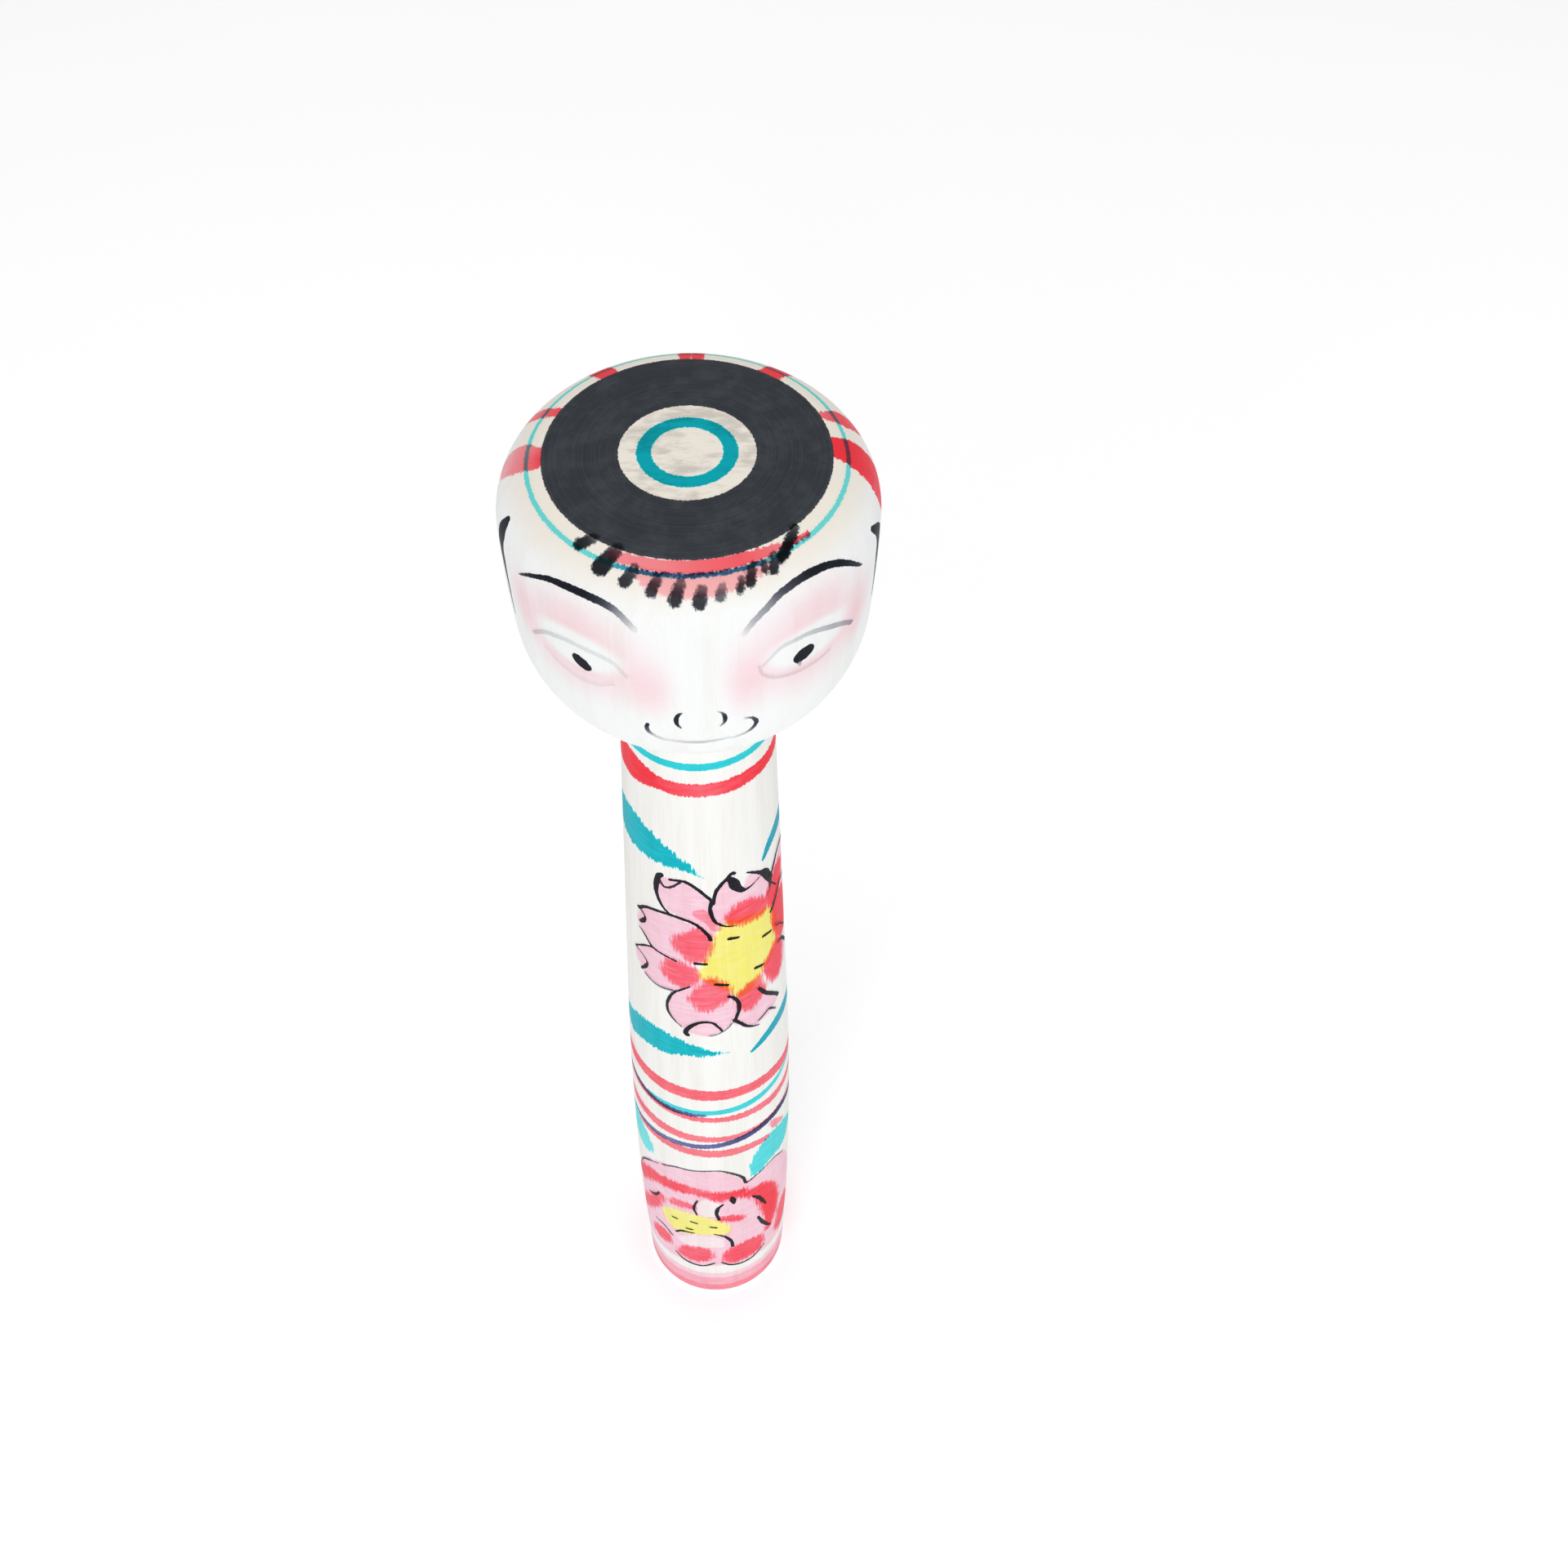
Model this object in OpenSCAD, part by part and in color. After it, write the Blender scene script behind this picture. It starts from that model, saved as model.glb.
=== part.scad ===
// Turned wooden doll: a slim standing body and a wide, flat-crowned head.
// The head carries its own neck tenon, whose bead is snapped past the mouth of a
// socket in the top of the body, so that it turns there without coming out.
// The origin is the centre of the base, +Z runs up the axis and the face looks along -Y.

/* [Body] */
// Height of the body, from the base to the face that the head sits over
body_h = 195.8; // [170:0.1:220]
// Diameter at the base
base_d = 30; // [27:0.5:31]
// Largest diameter of the body
belly_d = 32; // [31:0.5:36]
// Height at which the body is widest
belly_z = 50; // [35:1:70]
// Radius of the long arc above the belly, which runs into the straight taper
belly_arc_r = 1750; // [1200:10:1900]
// Slope of the straight taper, from the vertical, in degrees
taper = 2; // [1:0.1:2.2]
// Rounding of the edge that the doll stands on
foot_r = 1.7; // [0.5:0.1:3]
// Rounding of the shoulder
shoulder_r = 3; // [1:0.1:3.5]

/* [Head] */
// Height of the head, from its underside to the crown
head_h = 46.4; // [42:0.1:52]
// Largest diameter of the head
head_d = 54; // [50:0.5:60]
// Rounding of the crown's edge
crown_edge_r = 9.5; // [6:0.1:12]
// Rise of the crown's centre over its edge
crown_rise = 0.3; // [0.1:0.1:1.5]
// Radius of the slight barrel curve of the temples
temple_r = 220; // [150:5:300]
// Height of the barrel stretch
temple_h = 17.6; // [12:0.1:20]
// Diameter of the flat underside that faces the shoulder
seat_d = 16; // [15:0.1:17]

/* [Neck joint] */
// Diameter of the tenon under the head
tenon_d = 12; // [11:0.1:13]
// Length of the tenon below the head's underside
tenon_len = 16; // [13:0.5:20]
// How far the retaining bead stands out of the tenon
bead_rise = 0.6; // [0.3:0.1:1]
// Height of the retaining bead
bead_h = 3; // [2:0.1:4]
// Depth of the bead's middle below the top of the body
bead_depth = 8; // [6:0.5:9]
// Radial clearance of the tenon and the bead in the socket
fit_clearance = 0.05; // [0.02:0.01:0.1]
// Gap between the head's underside and the top of the body
seam_gap = 0.2; // [0.1:0.05:0.4]

/* [Hidden] */
$fn = 96;

wood = [0.94, 0.91, 0.85];
arc_step = 7.5;
flank_steps = 36;

base_r = base_d / 2;
belly_r = belly_d / 2;
taper_z = belly_z + belly_arc_r * sin(taper);
taper_start_r = belly_r - belly_arc_r * (1 - cos(taper));

head_r = head_d / 2;
seat_r = seat_d / 2;
seat_z = body_h + seam_gap;
crown_z = seat_z + head_h - crown_rise;
temple_top_z = crown_z - crown_edge_r;
temple_angle = asin(temple_h / temple_r);
jaw_r = head_r - temple_r * (1 - cos(temple_angle));
jaw_z = temple_top_z - temple_h;

// The chin's arc leaves the temple's arc at its own slope and ends at the edge of the seat.
chin_dr = jaw_r - seat_r;
chin_dz = jaw_z - seat_z;
chin_r = (pow(chin_dr, 2) + pow(chin_dz, 2))
    / (2 * (chin_dr * cos(temple_angle) - chin_dz * sin(temple_angle)));
chin_x = jaw_r - chin_r * cos(temple_angle);
chin_z = jaw_z + chin_r * sin(temple_angle);
chin_end = atan2(chin_z - seat_z, seat_r - chin_x);
chin_steps = 16;

tenon_r = tenon_d / 2;
bead_z = body_h - bead_depth;
bead_land = bead_h / 3;
tenon_chamfer = 0.8;
mouth_chamfer = 0.6;
groove_play = 0.15;
socket_spare = 1.5;
drill_point_h = 3;
socket_z = seat_z - tenon_len - socket_spare;

// Radius of the body's side at height z, before its two edges are rounded.
function flank_r(z) =
    z < belly_z ? belly_r - (belly_r - base_r) * pow((belly_z - z) / belly_z, 2)
    : z < taper_z ? belly_r - belly_arc_r + sqrt(pow(belly_arc_r, 2) - pow(z - belly_z, 2))
    : taper_start_r - (z - taper_z) * tan(taper);

// Rounded edges, as points [radius, height] from the bottom up.
function foot_arc() = [
    for (a = [0 : arc_step : 90])
    let (z = foot_r * (1 - cos(a)))
    [flank_r(z) - foot_r * (1 - sin(a)), z]
];

function shoulder_arc() = [
    for (a = [0 : arc_step : 90])
    let (z = body_h - shoulder_r * (1 - sin(a)))
    [flank_r(z) - shoulder_r * (1 - cos(a)), z]
];

function flank() = [
    for (i = [1 : flank_steps - 1])
    let (z = foot_r + (body_h - shoulder_r - foot_r) * i / flank_steps)
    [flank_r(z), z]
];

// An arc of radius r round [x, z], from one angle to another in equal steps.
function arc_points(x, z, r, from, to, steps) = [
    for (i = [0 : steps])
    let (a = from + (to - from) * i / steps)
    [x + r * cos(a), z + r * sin(a)]
];

function chin_arc() = arc_points(chin_x, chin_z, chin_r, -chin_end, -temple_angle, chin_steps);

function temple_arc() = [
    for (a = [-temple_angle * 2 / 3, -temple_angle / 3])
    [head_r - temple_r * (1 - cos(a)), temple_top_z + temple_r * sin(a)]
];

function crown_edge() =
    arc_points(head_r - crown_edge_r, temple_top_z, crown_edge_r, 0, 90, 90 / arc_step);

function crown_dome() = [
    for (t = [0.75, 0.5, 0.25, 0])
    [(head_r - crown_edge_r) * t, crown_z + crown_rise * (1 - pow(t, 2))]
];

// The bead's outline at the side of the tenon, grown by the play that the groove needs.
module bead_section(side, height) {
    polygon([
        [tenon_r - 1, bead_z - height / 2],
        [tenon_r + side - bead_rise, bead_z - height / 2],
        [tenon_r + side, bead_z - bead_land / 2],
        [tenon_r + side, bead_z + bead_land / 2],
        [tenon_r + side - bead_rise, bead_z + height / 2],
        [tenon_r - 1, bead_z + height / 2]
    ]);
}

module socket() {
    bore_r = tenon_r + fit_clearance;
    translate([0, 0, socket_z])
        cylinder(h = body_h - socket_z + 1, r = bore_r);
    translate([0, 0, socket_z - drill_point_h])
        cylinder(h = drill_point_h, r1 = 0, r2 = bore_r);
    translate([0, 0, body_h - mouth_chamfer])
        cylinder(h = mouth_chamfer * 2, r1 = bore_r, r2 = bore_r + mouth_chamfer * 2);
    rotate_extrude()
        bead_section(bead_rise + fit_clearance, bead_h + groove_play * 2);
}

module tenon() {
    tip_z = seat_z - tenon_len;
    translate([0, 0, tip_z])
        cylinder(h = tenon_chamfer, r1 = tenon_r - tenon_chamfer, r2 = tenon_r);
    translate([0, 0, tip_z + tenon_chamfer])
        cylinder(h = tenon_len - tenon_chamfer + 1, r = tenon_r);
    rotate_extrude()
        bead_section(bead_rise, bead_h);
}

module body() {
    color(wood)
    difference() {
        rotate_extrude()
            polygon(concat([[0, 0]], foot_arc(), flank(), shoulder_arc(), [[0, body_h]]));
        socket();
    }
}

module head() {
    color(wood)
    union() {
        rotate_extrude()
            polygon(concat([[0, seat_z]], chin_arc(), temple_arc(), crown_edge(), crown_dome()));
        tenon();
    }
}

body();
head();
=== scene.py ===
"""The looks of a turned and hand-painted wooden doll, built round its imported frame."""

import logging
import math
from dataclasses import dataclass, field
from enum import Enum

import bpy
import numpy as np
from mathutils import Matrix, Vector


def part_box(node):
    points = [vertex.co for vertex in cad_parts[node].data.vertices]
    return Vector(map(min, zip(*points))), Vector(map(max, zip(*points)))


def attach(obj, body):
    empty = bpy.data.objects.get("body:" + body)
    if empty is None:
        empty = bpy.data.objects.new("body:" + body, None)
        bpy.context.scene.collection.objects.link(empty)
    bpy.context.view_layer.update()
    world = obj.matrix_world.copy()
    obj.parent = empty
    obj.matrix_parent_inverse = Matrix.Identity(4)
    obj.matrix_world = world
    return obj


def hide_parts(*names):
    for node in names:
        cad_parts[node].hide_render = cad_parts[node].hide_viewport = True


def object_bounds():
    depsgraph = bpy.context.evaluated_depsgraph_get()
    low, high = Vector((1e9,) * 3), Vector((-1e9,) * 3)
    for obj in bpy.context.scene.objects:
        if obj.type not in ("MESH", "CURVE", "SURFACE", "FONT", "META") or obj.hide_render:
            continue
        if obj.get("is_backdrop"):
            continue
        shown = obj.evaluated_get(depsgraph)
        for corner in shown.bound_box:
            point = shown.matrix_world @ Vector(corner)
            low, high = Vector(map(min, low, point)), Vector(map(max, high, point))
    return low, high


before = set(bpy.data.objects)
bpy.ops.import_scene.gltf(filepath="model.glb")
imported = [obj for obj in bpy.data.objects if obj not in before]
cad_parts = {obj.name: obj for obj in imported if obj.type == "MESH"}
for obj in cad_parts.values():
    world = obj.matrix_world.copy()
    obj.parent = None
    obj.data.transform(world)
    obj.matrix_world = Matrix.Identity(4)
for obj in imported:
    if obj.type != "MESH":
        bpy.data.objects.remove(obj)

logging.basicConfig(level=logging.INFO, format="%(message)s")
log = logging.getLogger("doll")

MM = 0.001

FAR = 3.0  # mm from a dye's edge, past which its distance isn't worked out
ON_SIDE = 0.5  # mm from the painted side, within which a spot belongs to it
OFF_CHART = -1000.0  # the place given to spots that don't
CLEAR_SHARE = 0.75  # how much of a wash's bare oval is quite bare
CLEAR_FADE = 0.5  # how wide the fade round it is, as a share of the oval
MERGE = 0.002  # mm between points that become one
WHITE = (1.0, 1.0, 1.0, 1.0)

Point = tuple[float, float]
Path = tuple[Point, ...]
Triple = tuple[float, float, float]
Tint = tuple[int, int, int]

# how many lumps each kind of noise has in a mm, along x, y and z
BROAD_FIBRE: Triple = (0.35, 0.35, 0.012)
FINE_FIBRE: Triple = (3.2, 3.2, 0.05)
BRUSH_STREAK: Triple = (0.25, 0.25, 1.6)
RAGGED_EDGE: Triple = (2.6, 2.6, 0.28)
HANDLED_PATCH: Triple = (0.22, 0.5, 0.2)
RUBBED_PATCH: Triple = (0.3, 0.3, 0.3)
LATHE_WAVER: Triple = (0.15, 0.15, 0.8)
FLOOR_MOTTLE: Triple = (0.004, 0.004, 0.004)


class Dye(Enum):
    """The dyes on the wood, in the order in which they go on."""

    BLUSH = "blush"
    PINK = "pink"
    YELLOW = "yellow"
    TEAL = "teal"
    LEAF = "leaf"
    CORAL = "coral"
    ROSE = "rose"
    RED = "red"
    PLUM = "plum"
    CHARCOAL = "charcoal"
    SOOT = "soot"
    INK = "ink"


@dataclass(frozen=True)
class Stroke:
    """One pull of the brush, on a chart of a turned piece.

    Attributes:
        dye: the dye on the brush.
        path: turn round the axis in degrees, and place along the outline in mm.
        half: half widths in mm, at equal steps along the path.
        load: how full the brush is, at equal steps along the path.
    """

    dye: Dye
    path: Path
    half: tuple[float, ...] = (0.4,)
    load: tuple[float, ...] = (1.0,)


@dataclass(frozen=True)
class Patch:
    """A closed shape filled with a dye.

    Attributes:
        dye: the dye on the brush.
        outline: turn in degrees and place in mm, round the shape.
        load: how full the brush is.
        bare: whether the shape is left free of the dye instead.
    """

    dye: Dye
    outline: Path
    load: float = 1.0
    bare: bool = False


@dataclass(frozen=True)
class Wash:
    """A soft oval of thin dye, which fades to its edge.

    Attributes:
        dye: the dye on the brush.
        middle: turn in degrees and place in mm.
        reach: half its width in degrees and half its height in mm.
        load: how full the brush is at its middle.
        clear: half width and half height of the bare oval inside it, if it has one.
    """

    dye: Dye
    middle: Point
    reach: Point
    load: float
    clear: Point = (0.0, 0.0)


def ring(dye: Dye, low: float, high: float, load: float = 1.0) -> Stroke:
    """Makes a plain band right round a piece.

    Args:
        dye: the dye on the brush.
        low: where the band starts along the outline, in mm.
        high: where it ends.
        load: how full the brush is.

    Returns:
        The band as a stroke.
    """
    middle = (low + high) / 2
    turns = (-180, -120, -60, 0, 60, 120, 180)
    return Stroke(dye, tuple((turn, middle) for turn in turns), ((high - low) / 2,), (load,))


def wrapped(turn: np.ndarray) -> np.ndarray:
    """Brings turns in degrees into the half turn either side of 0."""
    return (turn + 180.0) % 360.0 - 180.0


def eased(amount: np.ndarray) -> np.ndarray:
    """Eases amounts from 0 to 1, with a level start and end."""
    held = np.clip(amount, 0.0, 1.0)
    return held * held * (3.0 - 2.0 * held)


def curve_through(points: Path, closed: bool, steps: int = 6) -> np.ndarray:
    """Draws a smooth curve through a few points.

    Args:
        points: the points that it passes through.
        closed: whether it comes back to its start.
        steps: how many short pieces lie between two points.

    Returns:
        The points along the curve, one in each row.
    """
    given = np.array(points, float)
    count = len(given)
    if closed:
        padded = np.vstack([given[-1:], given, given[:2]])
        spans = count
    else:
        padded = np.vstack([2 * given[0] - given[1], given, 2 * given[-1] - given[-2]])
        spans = count - 1
    rows = []
    for index in range(spans):
        a, b, c, d = padded[index : index + 4]
        for step in range(steps):
            t = step / steps
            slope = (c - a) * t + (2 * a - 5 * b + 4 * c - d) * t**2 + (3 * b - a - 3 * c + d) * t**3
            rows.append(b + slope / 2)
    if not closed:
        rows.append(given[-1])
    return np.array(rows)


def arc(middle: Point, radius: float, start: float, end: float, gap: float) -> list[Point]:
    """Sets out an arc of an outline.

    Args:
        middle: radius and height of the arc's centre, in mm.
        radius: the arc's radius in mm.
        start: angle of its first point, in degrees from outwards and up.
        end: angle of its last point.
        gap: the most that its points are apart, in mm.

    Returns:
        Its points, radius and height in mm.
    """
    sweep = math.radians(end - start)
    count = max(2, math.ceil(abs(sweep) * radius / gap))
    angles = [math.radians(start) + sweep * step / count for step in range(count + 1)]
    return [(middle[0] + radius * math.cos(a), middle[1] + radius * math.sin(a)) for a in angles]


def line(points: list[Point], gap: float) -> list[Point]:
    """Sets out straight stretches of an outline.

    Args:
        points: the corners, radius and height in mm.
        gap: the most that its points are apart, in mm.

    Returns:
        The corners with points between them.
    """
    rows = [points[0]]
    for (r0, z0), (r1, z1) in zip(points, points[1:]):
        count = max(1, math.ceil(math.hypot(r1 - r0, z1 - z0) / gap))
        rows += [(r0 + (r1 - r0) * i / count, z0 + (z1 - z0) * i / count) for i in range(1, count + 1)]
    return rows


@dataclass
class Chart:
    """Tells where the brush is on a turned piece, by turn and by place along its outline.

    Attributes:
        outline: radius and height in mm, along the painted side.
        places: the place of each of those points in mm.
    """

    outline: np.ndarray
    places: np.ndarray

    def locate(self, spots: np.ndarray) -> tuple[np.ndarray, np.ndarray, np.ndarray]:
        """Finds turn, place and radius of spots on the piece.

        Args:
            spots: x, y and z in mm, one spot in each row.

        Returns:
            The turn in degrees, the place in mm and the radius in mm of each spot.
        """
        turn = np.degrees(np.arctan2(spots[:, 0], -spots[:, 1]))
        flat = np.stack([np.hypot(spots[:, 0], spots[:, 1]), spots[:, 2]], 1)
        best = np.full(len(flat), np.inf)
        place = np.zeros(len(flat))
        for a, b, pa, pb in zip(self.outline, self.outline[1:], self.places, self.places[1:]):
            side = b - a
            share = np.clip((flat - a) @ side / (side @ side), 0.0, 1.0)
            away = np.hypot(*(flat - a - share[:, None] * side).T)
            nearer = away < best
            best[nearer] = away[nearer]
            place[nearer] = (pa + share * (pb - pa))[nearer]
        place[best > ON_SIDE] = OFF_CHART
        return turn, place, flat[:, 0]

    def spot(self, turn: np.ndarray, place: np.ndarray, lift: float) -> np.ndarray:
        """Finds the spot at a turn and a place.

        Args:
            turn: turns in degrees.
            place: places along the outline in mm.
            lift: how far the spots stand out of the surface, in mm.

        Returns:
            x, y and z in mm, one spot in each row.
        """
        radius = np.interp(place, self.places, self.outline[:, 0])
        height = np.interp(place, self.places, self.outline[:, 1])
        near = 0.2
        dr = np.interp(place + near, self.places, self.outline[:, 0])
        dr -= np.interp(place - near, self.places, self.outline[:, 0])
        dz = np.interp(place + near, self.places, self.outline[:, 1])
        dz -= np.interp(place - near, self.places, self.outline[:, 1])
        away = np.hypot(dr, dz)
        rise = self.outline[-1, 1] - self.outline[0, 1]
        facing = np.sign(self.places[-1] - self.places[0]) * np.sign(rise)
        radius = radius + facing * lift * dz / away
        height = height - facing * lift * dr / away
        angle = np.radians(turn)
        return np.stack([radius * np.sin(angle), -radius * np.cos(angle), height], 1)


@dataclass
class Painting:
    """Works out, for each spot on a piece, how far it is inside each painted shape.

    Attributes:
        shapes: everything painted on the piece.
    """

    shapes: list[Stroke | Patch | Wash]

    def dyes(self) -> list[Dye]:
        """Lists the dyes in use, in the order in which they go on."""
        used = {shape.dye for shape in self.shapes}
        return [dye for dye in Dye if dye in used]

    def dress(self, piece: bpy.types.Object, chart: Chart) -> None:
        """Stores each dye's edge distance and load on a piece's points.

        Args:
            piece: the mesh object.
            chart: the chart of the turned piece that it belongs to.
        """
        mesh = piece.data
        spots = np.empty(len(mesh.vertices) * 3)
        mesh.vertices.foreach_get("co", spots)
        turn, place, radius = chart.locate(spots.reshape(-1, 3) / MM)
        for dye in self.dyes():
            edge = np.full(len(turn), FAR)
            load = np.zeros(len(turn))
            for shape in self.shapes:
                if shape.dye is dye:
                    self._add(shape, turn, place, radius, edge, load)
            for name, values in (("edge", edge), ("load", load)):
                layer = mesh.attributes.new(f"{dye.value}_{name}", "FLOAT", "POINT")
                layer.data.foreach_set("value", values.astype(np.float32))

    def _add(
        self,
        shape: Stroke | Patch | Wash,
        turn: np.ndarray,
        place: np.ndarray,
        radius: np.ndarray,
        edge: np.ndarray,
        load: np.ndarray,
    ) -> None:
        """Adds one shape to the edge distances and loads of its dye.

        Args:
            shape: the stroke, patch or wash.
            turn: turns of the spots in degrees.
            place: places of the spots in mm.
            radius: radii of the spots in mm.
            edge: distances to the dye's edge in mm, below 0 inside, changed in place.
            load: loads of the dye, changed in place.
        """
        if isinstance(shape, Wash):
            across = wrapped(turn - shape.middle[0])
            along = place - shape.middle[1]
            out = np.hypot(across / shape.reach[0], along / shape.reach[1])
            amount = shape.load * eased(1.0 - out)
            if shape.clear[0]:
                bare = np.hypot(across / shape.clear[0], along / shape.clear[1])
                amount = amount * eased((bare - CLEAR_SHARE) / CLEAR_FADE)
            load[:] = 1.0 - (1.0 - load) * (1.0 - amount)
            edge[:] = np.where(load > 0.0, -FAR, edge)
            return
        closed = isinstance(shape, Patch)
        path = curve_through(shape.outline if closed else shape.path, closed)
        reach = FAR if closed else FAR + max(shape.half)
        low = path.min(0)
        high = path.max(0)
        middle = (low[0] + high[0]) / 2
        slack = np.degrees(reach / np.maximum(radius, 1.0))
        near = (place > low[1] - reach) & (place < high[1] + reach)
        near &= np.abs(wrapped(turn - middle)) < (high[0] - low[0]) / 2 + slack
        index = np.nonzero(near)[0]
        if not len(index):
            return
        here = (turn[index], place[index], radius[index])
        if closed:
            gap = self._to_outline(path, middle, *here)
            amount = np.full(len(index), shape.load)
            if shape.bare:
                edge[index] = np.maximum(edge[index], -gap)
                return
        else:
            gap, amount = self._to_path(path, shape, *here)
        nearer = gap < edge[index]
        edge[index[nearer]] = gap[nearer]
        load[index[nearer]] = amount[nearer]

    @staticmethod
    def _to_path(
        path: np.ndarray, shape: Stroke, turn: np.ndarray, place: np.ndarray, radius: np.ndarray
    ) -> tuple[np.ndarray, np.ndarray]:
        """Measures from spots to the edge of a stroke.

        Args:
            path: the smooth path of the stroke.
            shape: the stroke.
            turn: turns of the spots in degrees.
            place: places of the spots in mm.
            radius: radii of the spots in mm.

        Returns:
            The distance to the stroke's edge in mm, and the load there.
        """
        along = np.linspace(0.0, 1.0, len(path))
        half = np.interp(along, np.linspace(0.0, 1.0, len(shape.half)), shape.half)
        full = np.interp(along, np.linspace(0.0, 1.0, len(shape.load)), shape.load)
        gap = np.full(len(turn), FAR)
        amount = np.zeros(len(turn))
        for i in range(len(path) - 1):
            x = np.radians(wrapped(turn - path[i, 0])) * radius
            y = place - path[i, 1]
            dx = np.radians(path[i + 1, 0] - path[i, 0]) * radius
            dy = path[i + 1, 1] - path[i, 1]
            share = np.clip((x * dx + y * dy) / np.maximum(dx * dx + dy * dy, 1e-9), 0.0, 1.0)
            away = np.hypot(x - share * dx, y - share * dy) - (half[i] + share * (half[i + 1] - half[i]))
            nearer = away < gap
            gap = np.where(nearer, away, gap)
            amount = np.where(nearer, full[i] + share * (full[i + 1] - full[i]), amount)
        return gap, amount

    @staticmethod
    def _to_outline(
        path: np.ndarray, middle: float, turn: np.ndarray, place: np.ndarray, radius: np.ndarray
    ) -> np.ndarray:
        """Measures from spots to the outline of a patch.

        Args:
            path: the smooth outline.
            middle: the turn about which it lies, in degrees.
            turn: turns of the spots in degrees.
            place: places of the spots in mm.
            radius: radii of the spots in mm.

        Returns:
            The distance to the outline in mm, below 0 inside it.
        """
        turn = middle + wrapped(turn - middle)
        gap = np.full(len(turn), FAR)
        inside = np.zeros(len(turn), bool)
        for a, b in zip(path, np.roll(path, -1, axis=0)):
            x = np.radians(turn - a[0]) * radius
            y = place - a[1]
            dx = np.radians(b[0] - a[0]) * radius
            dy = b[1] - a[1]
            share = np.clip((x * dx + y * dy) / np.maximum(dx * dx + dy * dy, 1e-9), 0.0, 1.0)
            gap = np.minimum(gap, np.hypot(x - share * dx, y - share * dy))
            if a[1] != b[1]:
                crossing = a[0] + (place - a[1]) / (b[1] - a[1]) * (b[0] - a[0])
                inside ^= ((a[1] > place) != (b[1] > place)) & (turn < crossing)
        return np.where(inside, -gap, gap)


def linear(red: int, green: int, blue: int) -> tuple[float, float, float, float]:
    """Turns a colour as a painter names it into the shader's own scale.

    Args:
        red: red from 0 to 255.
        green: green from 0 to 255.
        blue: blue from 0 to 255.

    Returns:
        Red, green, blue and alpha.
    """
    shares = [value / 255 for value in (red, green, blue)]
    return (*[s / 12.92 if s <= 0.04045 else ((s + 0.055) / 1.055) ** 2.4 for s in shares], 1.0)


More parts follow.
